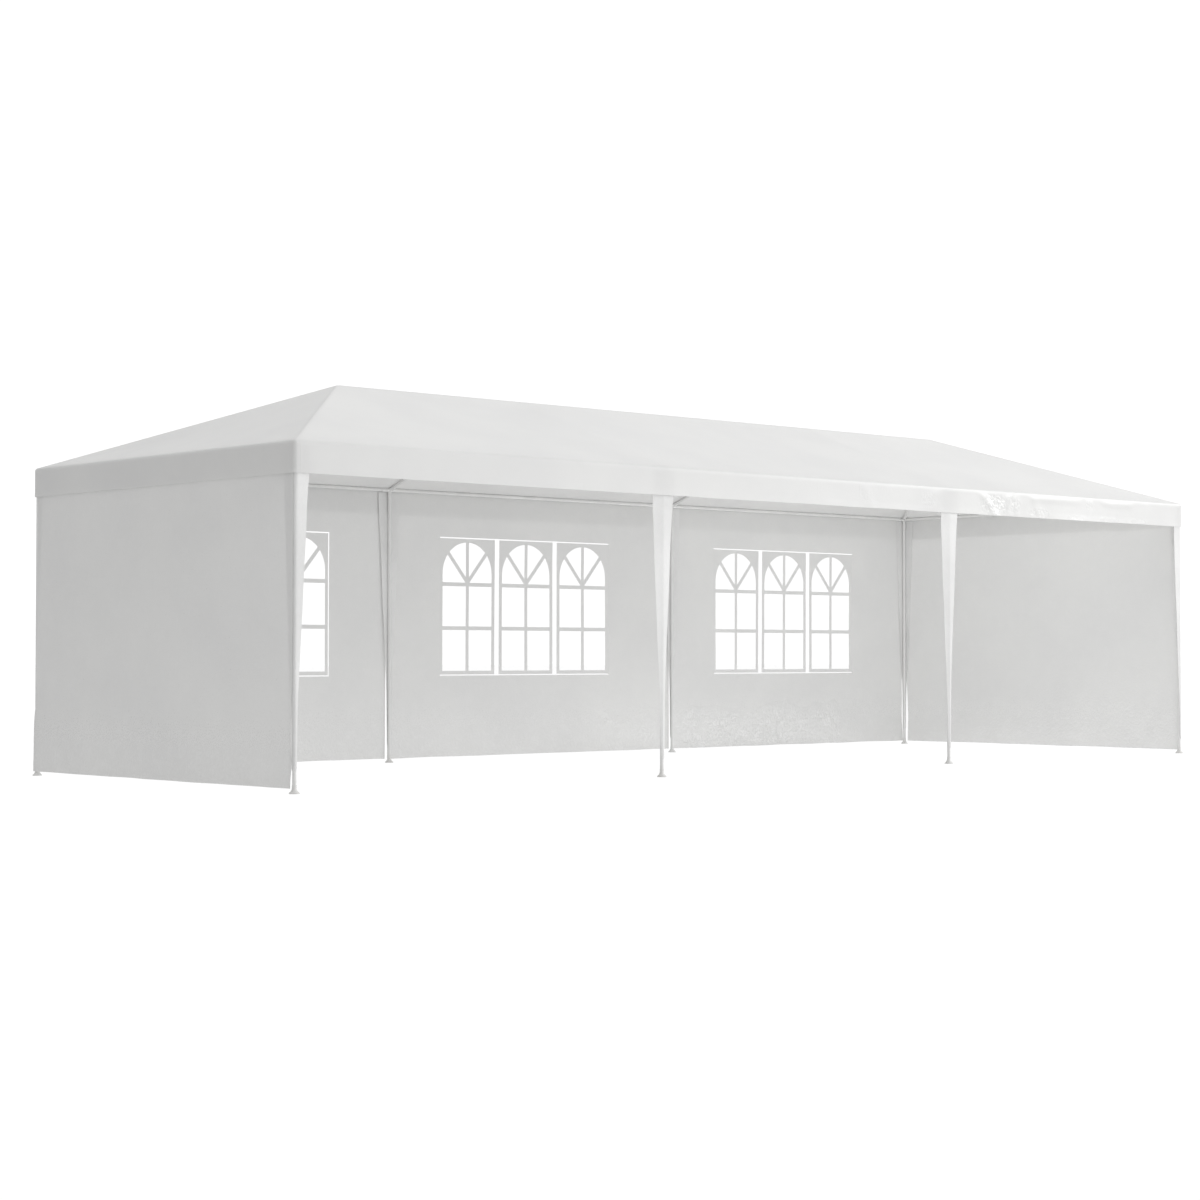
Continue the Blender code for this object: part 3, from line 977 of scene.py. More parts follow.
@dataclass
class SteelFrame:
    """Legs, sockets, eave tubes, rafters and ridge of white coated tube."""

    shop: Workshop
    clearance: float = 0.0003
    swage_depth: float = 0.0007
    swage_length: float = 0.004
    bead_r: float = 0.0150
    socket_r: float = 0.0145
    socket_start: float = 0.003
    hub_top: float = 0.010
    flare_top: float = 0.046
    foot_r: float = 0.0325
    foot_edge: float = 0.0022
    pieces: dict[str, bpy.types.Object] = field(default_factory=dict)

    @staticmethod
    def straight(start: Vector, end: Vector, profile: Sequence[tuple[float, float]]
                 ) -> tuple[np.ndarray, np.ndarray]:
        """Place a turned profile on a straight line.

        Args:
            start: Where the profile's zero lies.
            end: A point that the line runs towards.
            profile: Distance along the line and radius, for each ring.

        Returns:
            The path's points and its radii.
        """
        way = (end - start).normalized()
        path = np.array([start + way * distance for distance, _ in profile])
        return path, np.array([radius for _, radius in profile])

    def tube_profile(self, low: float, high: float, sections: int) -> list[tuple[float, float]]:
        """A tube of several lengths, with a swaged neck where one slides into the next.

        Args:
            low: Distance at which the tube starts.
            high: Distance at which it ends.
            sections: Number of lengths that it is made of.

        Returns:
            Distance and radius of each ring.
        """
        tube = self.shop.plan.tube_r
        lip = 0.0006
        rings = [(low, tube - lip), (low + lip, tube)]
        for number in range(1, sections):
            middle = low + (high - low) * number / sections
            neck = tube - self.swage_depth
            rings += [(middle - 0.0004, tube), (middle, neck),
                      (middle + self.swage_length, neck),
                      (middle + self.swage_length * 1.6, tube)]
        return rings + [(high - lip, tube), (high, tube - lip)]

    def socket_profile(self) -> list[tuple[float, float]]:
        """A socket from the joint's centre to its mouth, with a rolled bead at the mouth."""
        length = self.shop.plan.sleeve_length
        body = self.socket_r
        bead = self.bead_r
        return [(self.socket_start, body), (length - 0.0055, body), (length - 0.0040, bead),
                (length - 0.0015, bead), (length - 0.0004, body), (length, body - 0.0008)]

    def leg_profile(self) -> list[tuple[float, float]]:
        """Radius of a leg from its flat flared foot up to its top."""
        plan = self.shop.plan
        top = plan.eave_z - plan.sleeve_length - self.clearance
        flare = []
        steps = 9
        for step in range(steps + 1):
            share = step / steps
            height = 0.0065 + (self.flare_top - 0.0065) * share
            radius = 0.0140 + (self.foot_r - 0.0150) * (1 - share) ** 3.2
            flare.append((height, radius))
        collar = [(self.flare_top + 0.0015, 0.0146), (self.flare_top + 0.0045, 0.0146),
                  (self.flare_top + 0.0055, plan.tube_r)]
        rim = [(0.0, self.foot_r - 0.0008), (0.0008, self.foot_r),
               (0.0008 + self.foot_edge, self.foot_r), (0.0045, self.foot_r - 0.0015)]
        shaft = self.tube_profile(0.0, top, 2)[2:]
        return rim + flare + collar + shaft

    def build_legs(self) -> None:
        """Turn a leg with its foot below every joint."""
        up = Vector((0, 0, 1))
        for side in Side:
            for number, x in enumerate(self.shop.plan.leg_xs, start=1):
                node = f"leg_{side.name.lower()}_{number}"
                base = Vector((x, side.value * self.shop.plan.half_depth, 0.0))
                rod = self.straight(base, base + up, self.leg_profile())
                self.pieces[node] = self.shop.rods(f"steel_{node}", [rod], False, [node])

    def build_joints(self) -> None:
        """Fuse the sockets on top of each leg."""
        plan = self.shop.plan
        for side in Side:
            for number, x in enumerate(plan.leg_xs, start=1):
                node = f"eave_joint_{side.name.lower()}_{number}"
                centre = plan.eave_point(x, side)
                ways = [plan.ridge_point(x) - centre]
                if number > 1:
                    ways.append(Vector((-1, 0, 0)))
                if number < len(plan.leg_xs):
                    ways.append(Vector((1, 0, 0)))
                if number in (1, len(plan.leg_xs)):
                    ways.append(Vector((0, -side.value, 0)))
                rods = [self.straight(centre, centre + way, self.socket_profile())
                        for way in ways]
                body = self.socket_r
                hub = [(-self.hub_top, body - 0.004), (-self.hub_top + 0.0015, body - 0.001),
                       (-self.hub_top + 0.004, body)] + self.socket_profile()[1:]
                rods.append(self.straight(centre, centre - Vector((0, 0, 1)), hub))
                self.pieces[node] = self.shop.rods(f"steel_{node}", rods, True, [node])

    def build_tubes(self) -> None:
        """Lay the eave tubes and the rafters from socket to socket."""
        plan = self.shop.plan
        runs: dict[str, tuple[Vector, Vector, int]] = {}
        for side in Side:
            label = side.name.lower()
            for number, (first, second) in enumerate(zip(plan.leg_xs, plan.leg_xs[1:]), start=1):
                runs[f"eave_tube_{label}_{number}"] = (
                    plan.eave_point(first, side), plan.eave_point(second, side), 2)
            for number, x in enumerate(plan.leg_xs, start=1):
                kind = "hip_rafter" if abs(x) == plan.half_length else "rafter"
                runs[f"{kind}_{label}_{number}"] = (
                    plan.eave_point(x, side), plan.ridge_point(x), 2)
        for end in End:
            x = end.value * plan.half_length
            runs[f"eave_tube_{end.name.lower()}"] = (
                plan.eave_point(x, Side.FRONT), plan.eave_point(x, Side.REAR), 2)
        inset = plan.sleeve_length + self.clearance
        for node, (start, end_point, sections) in runs.items():
            span = (end_point - start).length
            profile = self.tube_profile(inset, span - inset, sections)
            rod = self.straight(start, end_point, profile)
            self.pieces[node] = self.shop.rods(f"steel_{node}", [rod], False, [node])

    def build_ridge(self) -> None:
        """Fuse the ridge tube with the sleeves and sockets that take the rafters."""
        plan = self.shop.plan
        low, high = plan.ridge_point(-10.0), plan.ridge_point(10.0)
        span = (high - low).length
        rods = [self.straight(low, high, self.tube_profile(0.0, span, 4))]
        length = plan.sleeve_length
        body = self.socket_r
        bead = self.bead_r
        for x in plan.leg_xs:
            centre = plan.ridge_point(x)
            first = max(low.x, centre.x - length)
            last = min(high.x, centre.x + length)
            sleeve = [(0.0, body - 0.001), (0.0008, body), (0.002, bead), (0.0045, bead),
                      (0.006, body)]
            size = last - first
            sleeve += [(size - distance, radius) for distance, radius in reversed(sleeve)]
            start = Vector((first, 0.0, plan.ridge_z))
            rods.append(self.straight(start, start + Vector((1, 0, 0)), sleeve))
            for side in Side:
                way = plan.eave_point(x, side) - centre
                rods.append(self.straight(centre, centre + way, self.socket_profile()))
        self.pieces["ridge_beam"] = self.shop.rods("steel_ridge_beam", rods, True,
                                                   ["ridge_beam"])

    def build(self) -> "SteelFrame":
        """Build every steel piece and return the frame."""
        self.build_legs()
        self.build_joints()
        self.build_tubes()
        self.build_ridge()
        return self


# Cover


@dataclass(frozen=True)
class Crease:
    """A pressed fold in the front valance."""

    top: float
    bottom: float
    height: float
    width: float

    def push(self, x: np.ndarray, down: np.ndarray) -> np.ndarray:
        """How far the fold stands out at each place."""
        beside = (x - self.top - (self.bottom - self.top) * down) / self.width
        return self.height * np.exp(-beside ** 2)


@dataclass
class Cover:
    """One continuous sheet: four roof slopes, a soft fold at the eaves and the valance."""

    shop: Workshop
    column_pitch: float = 0.025
    row_pitch: float = 0.056
    corner_steps: int = 6
    fold_r: float = 0.022
    fold_steps: int = 4
    valance_rows: int = 10
    lift: float = 0.0153
    hip_softness: float = 0.0030
    sag: float = 0.017
    thickness: float = 0.0013
    body_share: float = 0.5
    hem_rows: int = 1
    creases: tuple[Crease, ...] = (
        Crease(0.52, 0.60, 0.0016, 0.050), Crease(1.33, 1.22, 0.0024, 0.060),
        Crease(1.86, 2.04, 0.0045, 0.045), Crease(2.20, 2.06, 0.0035, 0.035),
        Crease(2.212, 2.197, 0.0040, 0.014), Crease(2.311, 2.296, 0.0045, 0.014),
        Crease(2.50, 2.60, 0.0025, 0.045), Crease(3.25, 3.21, 0.0025, 0.025),
        Crease(3.55, 3.50, 0.0020, 0.040), Crease(4.02, 3.97, 0.0020, 0.035))
    # Crumpled spots of the front valance: each bends the cloth into facets and also places the
    # material's painted sheen and painted crease shade.
    crumple_spots: tuple[tuple[float, float, float, float, float], ...] = (
        (0.55, 0.60, 0.10, 0.30, 0.20), (0.82, 0.15, 0.08, 0.20, 0.20),
        (1.24, 0.55, 0.10, 0.35, 0.35), (2.02, 0.55, 0.17, 0.50, 0.75),
        (2.27, 0.45, 0.09, 0.45, 0.50), (2.58, 0.80, 0.15, 0.25, 0.60),
        (3.05, 0.92, 0.14, 0.18, 0.50), (3.24, 0.25, 0.06, 0.30, 0.40),
        (3.50, 0.92, 0.16, 0.18, 0.50), (3.90, 0.90, 0.14, 0.20, 0.45))
    eave_pleats: tuple[tuple[float, float], ...] = ((2.45, 3.14), (3.38, 3.85))
    piece: bpy.types.Object | None = None

    def eave_line(self) -> tuple[np.ndarray, np.ndarray]:
        """Walk anticlockwise round the cover's outer face.

        Returns:
            Plan position and outward direction of each column.
        """
        plan = self.shop.plan
        half = np.array([plan.half_length, plan.half_depth])
        corners = np.array([(-1, -1), (1, -1), (1, 1), (-1, 1)])
        places = []
        outwards = []
        for number, corner in enumerate(corners):
            following = corners[(number + 1) % 4]
            start = corner * half
            stop = following * half
            along = (stop - start) / np.linalg.norm(stop - start)
            out = np.array([along[1], -along[0]])
            count = round(np.linalg.norm(stop - start) / self.column_pitch)
            for step in range(count):
                places.append(start + (stop - start) * step / count)
                outwards.append(out)
            first = math.atan2(out[1], out[0])
            for step in range(self.corner_steps):
                angle = first + math.pi / 2 * step / self.corner_steps
                places.append(stop)
                outwards.append(np.array([math.cos(angle), math.sin(angle)]))
        out = np.array(outwards)
        return np.array(places) + out * plan.valance_face, out

    def roof_height(self, x: np.ndarray, y: np.ndarray) -> np.ndarray:
        """Height of the cover's underside over the plan, before it sags."""
        plan = self.shop.plan
        heights = []
        for run, slope in ((plan.half_depth - np.abs(y), plan.long_slope),
                           (plan.half_length - np.abs(x), plan.end_slope)):
            heights.append(plan.eave_z + run * slope + self.lift * math.hypot(1.0, slope))
        softness = self.hip_softness
        lower = np.minimum(*heights)
        spread = np.abs(heights[0] - heights[1])
        return lower - softness * np.log1p(np.exp(-spread / softness))

    def hang(self, x: np.ndarray, y: np.ndarray) -> tuple[np.ndarray, np.ndarray]:
        """How the roof hangs between the tubes that carry it.

        Args:
            x: Position along the tent.
            y: Position across the tent.

        Returns:
            The depth of the sag, and the distance to the nearest tube.
        """
        plan = self.shop.plan
        inner = plan.leg_xs[-2]
        end_depth = plan.half_length - plan.ridge_half
        run = np.clip(plan.half_depth - np.abs(y), 0.0, plan.half_depth)
        end_run = np.clip(plan.half_length - np.abs(x), 0.0, None)
        rise = run / plan.half_depth
        end_rise = np.clip(end_run / end_depth, 0.0, 1.0)
        hip_x = plan.half_length - rise * end_depth
        share = np.clip((np.abs(x) - inner) / (hip_x - inner), 0.0, 1.0)
        middle = 1.0 - np.clip(x / inner, -1.0, 1.0) ** 2
        lateral = np.where(np.abs(x) < inner, middle, 4.0 * share * (1.0 - share) * 0.8)
        long_sag = 4.0 * rise * (1.0 - rise) * lateral
        half_width = plan.half_depth * np.maximum(1.0 - end_rise, 1e-3)
        across = 1.0 - np.clip(y / half_width, -1.0, 1.0) ** 2
        end_sag = 0.8 * 6.75 * end_rise * (1.0 - end_rise) ** 2 * across
        on_end = end_run / end_depth < rise
        hip_gap = np.abs(hip_x - np.abs(x)) * 0.73
        rafter_gap = np.where(np.abs(x) < plan.ridge_half, np.abs(np.abs(x) - inner), 9.0)
        long_gap = np.minimum.reduce([run, plan.half_depth - run, hip_gap, rafter_gap])
        end_gap = np.minimum(end_run, hip_gap)
        return (self.sag * np.where(on_end, end_sag, long_sag),
                np.where(on_end, end_gap, long_gap))

    def ripples(self, x: np.ndarray, y: np.ndarray, gap: np.ndarray) -> np.ndarray:
        """Wrinkles of the roof, which die out over the tubes.

        Args:
            x: Position along the tent.
            y: Position across the tent.
            gap: Distance to the nearest tube.

        Returns:
            Height of the wrinkles.
        """
        plan = self.shop.plan
        ease = smoothstep(0.0, 0.16, gap)
        waves = 0.0035 * perlin([x / 0.75, y / 0.55], 1.0)
        run = np.minimum(plan.half_depth - np.abs(y), plan.half_length - np.abs(x))
        waves += 0.0022 * perlin([x / 0.9, y / 0.07], 2.0) * np.exp(-np.clip(run, 0, 9) / 0.35)
        for number, (sign_x, sign_y) in enumerate(((-1, -1), (1, -1), (1, 1), (-1, 1))):
            away_x = plan.half_length - sign_x * x
            away_y = plan.half_depth - sign_y * y
            reach = np.hypot(away_x, away_y)
            angle = np.arctan2(away_y, away_x)
            fan = perlin([angle * 9.0, reach * 0.7], 10.0 + number)
            waves += 0.0042 * fan * np.exp(-reach / 1.1) * smoothstep(0.05, 0.35, reach)
        return waves * ease

    def valance_push(self, along: np.ndarray, down: np.ndarray, side: np.ndarray
                     ) -> tuple[np.ndarray, np.ndarray]:
        """How far the valance stands out, and how crumpled it is.

        Args:
            along: Distance walked round the eaves.
            down: Distance below the fold, as a share of the valance's depth.
            side: X position on the front side, or a large negative number elsewhere.

        Returns:
            The outward push and the share of crumpling.
        """
        loose = np.clip(down, 0.0, 1.0)
        push = 0.0045 * (0.6 + perlin([along / 0.85], 21.0)) * loose ** 1.3
        push += 0.0018 * perlin([along / 0.22, loose * 0.6], 22.0) * loose
        crumple = 0.04 * np.ones_like(push)
        for place, depth, width, height, strength in self.crumple_spots:
            apart = ((side - place) / width) ** 2 + ((loose - depth) / height) ** 2
            crumple = np.maximum(crumple, strength * np.exp(-apart ** 2))
        cells = facets([along / 0.085, down * 0.19 / 0.085], 23.0)
        push += 0.0060 * (cells - 0.2) * crumple * smoothstep(0.0, 0.25, loose)
        for crease in self.creases:
            push += crease.push(side, loose) * smoothstep(0.0, 0.2, loose)
        for first, last in self.eave_pleats:
            inside = smoothstep(first, first + 0.08, side) * smoothstep(last, last - 0.08, side)
            push += 0.0035 * inside * np.exp(-((loose - 0.16) / 0.10) ** 2)
        return np.maximum(push, -0.001), crumple

    def build(self) -> "Cover":
        """Build the sheet and its stitches, and return the cover."""
        plan = self.shop.plan
        eave, out = self.eave_line()
        columns = len(eave)
        ridge = np.stack([np.clip(eave[:, 0], -plan.ridge_half, plan.ridge_half),
                          np.zeros(columns)], axis=1)
        on_side = np.abs(out[:, 1]) > 0.72
        slope = np.where(on_side, plan.long_slope, plan.end_slope)
        tilt = np.arctan(slope)
        start = eave + out * (self.fold_r * (np.sin(tilt) - 1.0))[:, None]
        depth = math.hypot(plan.half_depth, plan.rise)
        rows = round(depth / self.row_pitch)
        shares = np.concatenate([[0.0, 0.006, 0.016], np.linspace(0.0, 1.0, rows + 1)[1:]])
        grid = ridge[None] + (start - ridge)[None] * shares[:, None, None]
        x, y = grid[..., 0], grid[..., 1]
        flat = self.roof_height(x, y)
        sag, gap = self.hang(x, y)
        height = flat - sag + self.ripples(x, y, gap)
        roof = np.stack([x, y, height], axis=-1)
        walked = np.concatenate([[0.0], np.cumsum(np.linalg.norm(np.diff(eave, axis=0),
                                                                 axis=1))])
        centre_z = height[-1] - self.fold_r * np.cos(tilt)
        fold = []
        for step in range(1, self.fold_steps + 1):
            angle = (math.pi / 2 - tilt) * (1 - step / self.fold_steps)
            reach = self.fold_r * (np.cos(angle) - 1.0)
            lift = self.fold_r * np.sin(angle)
            fold.append(np.column_stack([eave + out * reach[:, None], centre_z + lift]))
        downs = np.linspace(0.0, 1.0, self.valance_rows + 1)[1:]
        front_x = np.where(out[:, 1] < -0.99, eave[:, 0], -9.0)
        hem_wave = 0.0018 * perlin([walked / 0.3], 24.0)
        bottom = plan.valance_bottom + hem_wave
        crumple_rows = [np.zeros(columns)] * (len(roof) + len(fold))
        valance = []
        near_corner = np.minimum(np.abs(np.abs(eave[:, 0]) - plan.half_length) + 9.0 * ~on_side,
                                 np.abs(np.abs(eave[:, 1]) - plan.half_depth) + 9.0 * on_side)
        calm = smoothstep(0.0, 0.12, near_corner)
        for down in downs:
            push, crumple = self.valance_push(walked, np.full(columns, down), front_x)
            spot = eave + out * (push * calm)[:, None]
            valance.append(np.column_stack([spot, centre_z + (bottom - centre_z) * down]))
            crumple_rows.append(crumple)
        points = np.concatenate([roof, np.array(fold), np.array(valance)])
        cut = self.flat_coordinates(points, walked, on_side)
        mesh = grid_mesh(points, cut, closed=True, crumple=np.array(crumple_rows))
        total_rows = len(points)
        weights = np.zeros((total_rows, columns))
        weights[-1 - self.hem_rows:] = 1.0
        hem = mesh.attributes.new("hem_share", "FLOAT", "POINT")
        hem.data.foreach_set("value", weights.astype(np.float32).ravel())
        tidy_sheet(mesh)
        nodes = [f"roof_slope_{side.name.lower()}" for side in Side]
        nodes += [f"roof_end_{end.name.lower()}" for end in End]
        nodes += [f"valance_{name.name.lower()}" for name in (*Side, *End)]
        self.piece = register("marquee_cover", mesh, self.shop.finishes.cover, nodes)
        kept = np.zeros(len(mesh.vertices), dtype=np.float32)
        mesh.attributes["hem_share"].data.foreach_get("value", kept)
        mesh.attributes.remove(mesh.attributes["hem_share"])
        thicken(self.piece, self.thickness, self.body_share, kept)
        self.sew(points, out, columns, len(roof))
        return self

    def flat_coordinates(self, points: np.ndarray, walked: np.ndarray, on_side: np.ndarray
                         ) -> np.ndarray:
        """Lay each face of the cover flat, slope by slope.

        Args:
            points: The grid of points.
            walked: Distance round the eaves at each column.
            on_side: Whether each column belongs to a long side.

        Returns:
            Flat coordinates of every face's corners.
        """
        plan = self.shop.plan
        wrapped = np.concatenate([points, points[:, :1]], axis=1)
        x, y, z = wrapped[..., 0], wrapped[..., 1], wrapped[..., 2]
        drop = plan.eave_z - z
        corners = []
        for along, run, slope in ((x, plan.half_depth - np.abs(y), plan.long_slope),
                                  (y, plan.half_length - np.abs(x), plan.end_slope)):
            down = np.where(drop > 0, -drop, run * math.hypot(1.0, slope))
            corners.append(face_corners(along + 20.0, down))
        chosen = on_side[None, :, None, None]
        return np.where(chosen, corners[0], corners[1])

    def sew(self, points: np.ndarray, out: np.ndarray, columns: int, roof_rows: int) -> None:
        """Stitch the hem of the valance and the seams along the hips.

        Args:
            points: The grid of points.
            out: Outward direction of each column.
            columns: Number of columns.
            roof_rows: Number of rows above the fold.
        """
        middle = self.thickness / 2
        outwards = np.column_stack([out, np.zeros(columns)])
        hem_row = points[-1] + (points[-2] - points[-1]) * 0.72 + outwards * middle
        paths = [np.concatenate([hem_row, hem_row[:1]])]
        per_side = [round(2 * half / self.column_pitch)
                    for half in (self.shop.plan.half_length, self.shop.plan.half_depth)]
        column = 0
        for number in range(4):
            column += per_side[number % 2] + self.corner_steps // 2
            seam = points[3:roof_rows - 1, column % columns].copy()
            seam[:, 2] += self.thickness * self.body_share * 0.6
            paths.append(seam)
            column += self.corner_steps - self.corner_steps // 2
        stitches = self.shop.stitches("cover_stitches", paths, Slot.COVER)


# Leg drapes


@dataclass
class LegDrapes:
    """The tapered strips of the cover that hang down the outside of the legs."""

    shop: Workshop
    cover: Cover
    half_width: Knots = ((0.12, 0.0195), (0.30, 0.0215), (0.45, 0.0225), (0.65, 0.0285),
                         (0.92, 0.0450), (1.90, 0.0965), (2.06, 0.1000))
    corner_half_width: Knots = ((0.12, 0.0200), (0.45, 0.0230), (0.65, 0.0330),
                                (0.92, 0.0480), (1.90, 0.0980), (2.06, 0.1000))
    wrap: Knots = ((0.12, 50.0), (0.30, 34.0), (0.45, 31.0), (0.65, 24.0), (1.20, 10.0),
                   (1.85, 5.0), (2.06, 3.0))
    corner_wrap: Knots = ((0.12, 74.0), (0.45, 66.0), (0.80, 50.0), (1.20, 45.5), (2.06, 45.0))
    row_pitch: float = 0.024
    columns: int = 17
    thickness: float = 0.0010
    body_share: float = 0.55
    point_rise: float = 0.030
    flutter: float = 0.0045
    step_out: float = 0.0045

    def section(self, s: np.ndarray, wrap: np.ndarray) -> tuple[np.ndarray, np.ndarray]:
        """Bend a strip round the leg.

        Args:
            s: Distance from the strip's middle, across it.
            wrap: Angle that it hugs the leg over on each side, in radians.

        Returns:
            Sideways and outward position.
        """
        radius = self.shop.plan.drape_face
        reach = np.abs(s)
        hugged = np.minimum(reach, radius * wrap)
        free = reach - hugged
        turn = hugged / radius
        sideways = radius * np.sin(turn) + free * np.cos(turn)
        outward = radius * np.cos(turn) - free * np.sin(turn)
        return np.sign(s) * sideways, outward

    def build_one(self, side: Side, number: int, x: float) -> bpy.types.Object:
        """Hang one drape.

        Args:
            side: Long side that it is on.
            number: Number of its leg, from the left.
            x: Position of its leg.

        Returns:
            The finished sheet.
        """
        plan = self.shop.plan
        corner = abs(x) == plan.half_length
        out = Vector((math.copysign(1.0, x) if corner else 0.0, side.value, 0.0)).normalized()
        along = Vector((-out.y, out.x, 0.0))
        widths = self.corner_half_width if corner else self.half_width
        wraps = self.corner_wrap if corner else self.wrap
        rows = round((plan.drape_top - plan.drape_bottom) / self.row_pitch)
        share = np.linspace(0.0, 1.0, rows + 1)[:, None]
        across = np.linspace(-1.0, 1.0, self.columns)[None, :]
        tip = plan.drape_bottom + self.point_rise * np.abs(across) ** 1.5
        z = plan.drape_top + (tip - plan.drape_top) * share
        half = eased_knots(widths, z, 0.10)
        seed = 30.0 + number * 3 + side.value
        sway = 1.0 + 0.05 * perlin([z / 0.35, across + 0 * z], seed)
        s = half * across * sway
        sideways, outward = self.section(s, np.radians(eased_knots(wraps, z, 0.10)))
        loose = np.abs(across) ** 2 * smoothstep(1.95, 1.6, z) * np.clip(half / 0.08, 0.2, 1.0)
        wave = perlin([z / 0.30, np.sign(across) * 3.0 + 0 * z], seed + 11.0)
        if corner or side is Side.REAR:
            wave = -np.abs(wave)
        outward = outward + self.flutter * loose * wave
        spot = (np.array([x, side.value * plan.half_depth, 0.0])
                + sideways[..., None] * np.array(along) + outward[..., None] * np.array(out))
        if side is Side.FRONT:
            wing = smoothstep(-0.1, 0.2, -across * math.copysign(1.0, x)) if corner else 1.0
            spot[..., 1] -= self.step_out * smoothstep(1.78, 1.88, z) * wing
        points = np.concatenate([spot[..., :2], z[..., None]], axis=-1)
        label = f"{side.name.lower()}_{number}"
        mesh = grid_mesh(points, face_corners(s + 3.0 * number, -z),
                         crumple=0.15 + 0 * z)
        tidy_sheet(mesh)
        node = f"leg_drape_{label}"
        piece = register(f"cloth_{node}", mesh, self.shop.finishes.drape, [node])
        weights = np.zeros(z.shape)
        weights[:, :2] = weights[:, -2:] = weights[-2:] = 1.0
        thicken(piece, self.thickness, self.body_share, weights.ravel())
        shell = np.array(out) * self.thickness / 2
        paths = [points[2:-2, column] + shell for column in (1, -2)]
        stitches = self.shop.stitches(f"drape_stitches_{label}", paths, Slot.COVER, 0.014)
        return piece

    def build(self) -> None:
        """Hang a drape on every leg."""
        for side in Side:
            for number, x in enumerate(self.shop.plan.leg_xs, start=1):
                self.build_one(side, number, x)


# Walls and windows


@dataclass(frozen=True)
class Lattice:
    """The printed window lattice: arched lights with bars and a fan of spokes."""

    light_offsets: tuple[float, ...] = (-0.6145, -0.0055, 0.6035)
    glass_half: float = 0.25
    strip_half: float = 0.0225
    edge_line: float = 0.009
    sill: float = 0.037
    lower_bar: tuple[float, float] = (0.356, 0.386)
    transom: tuple[float, float] = (0.699, 0.729)
    spring: float = 0.794
    bar_half: float = 0.0155
    spoke_angle: float = math.radians(40)
    arc_steps: int = 8

    def arch(self, centre: float, first: float, last: float) -> list[tuple[float, float]]:
        """Points along a light's arch between two angles from the vertical."""
        angles = np.linspace(first, last, self.arc_steps + 1)
        return [(centre + self.glass_half * math.sin(angle),
                 self.spring + self.glass_half * math.cos(angle)) for angle in angles]

    def on_arch(self, offset: float, angle: float) -> float:
        """Angle at which a line beside a spoke meets the arch.

        Args:
            offset: Distance of the line from the spoke's own line.
            angle: The spoke's angle from the vertical.

        Returns:
            Angle from the vertical, about the arch's centre.
        """
        start_x = offset * math.cos(angle)
        start_z = self.transom[1] - offset * math.sin(angle) - self.spring
        way_x = math.sin(angle)
        way_z = math.cos(angle)
        along = start_x * way_x + start_z * way_z
        gap = start_x ** 2 + start_z ** 2 - self.glass_half ** 2
        reach = -along + math.sqrt(along ** 2 - gap)
        return math.atan2(start_x + reach * way_x, start_z + reach * way_z)

    def fan_panes(self, centre: float) -> list[list[tuple[float, float]]]:
        """The four panes under a light's arch."""
        base = self.transom[1]
        bar = self.bar_half
        angle = self.spoke_angle
        outer = self.on_arch(bar, angle)
        inner = self.on_arch(-bar, angle)
        upright = math.asin(bar / self.glass_half)
        foot = bar / math.cos(angle)
        meet_z = base + (bar + bar / math.cos(angle)) / math.tan(angle)
        side = [(foot, base)] + self.arch(0.0, outer, math.pi / 2) + [(self.glass_half, base)]
        middle = [(bar, meet_z)] + self.arch(0.0, upright, inner)
        panes = []
        for outline in (side, middle):
            for sign in (-1, 1):
                panes.append([(centre + sign * u, v) for u, v in outline])
        return panes

    def panes(self, centre: float) -> list[list[tuple[float, float]]]:
        """Every pane of one light, as closed outlines above the window's lower edge."""
        outlines = self.fan_panes(centre)
        rows = ((self.sill, self.lower_bar[0]), (self.lower_bar[1], self.transom[0]))
        for low, high in rows:
            for first, last in ((-self.glass_half, -self.bar_half),
                                (self.bar_half, self.glass_half)):
                outlines.append([(centre + first, low), (centre + last, low),
                                 (centre + last, high), (centre + first, high)])
        return outlines

    def panels(self, half_width: float, height: float, end_line: bool
               ) -> list[list[list[tuple[float, float]]]]:
        """Outlines of the printed panels, one for each light.

        Args:
            half_width: Half of the window's width.
            height: The window's height.
            end_line: Whether a clear line also runs down the window's right end.

        Returns:
            For each panel its outer outline, followed by its panes.
        """
        middles = [(first + second) / 2 for first, second in
                   zip(self.light_offsets, self.light_offsets[1:])]
        lefts = [-half_width] + [middle + self.strip_half for middle in middles]
        rights = [middle - self.strip_half for middle in middles] + [half_width]
        if end_line:
            rights[-1] -= self.edge_line
        low = self.edge_line
        high = height - self.edge_line
        panels = []
        for centre, left, right in zip(self.light_offsets, lefts, rights):
            outer = [(left, low), (right, low), (right, high), (left, high)]
            panels.append([outer] + self.panes(centre))
        return panels


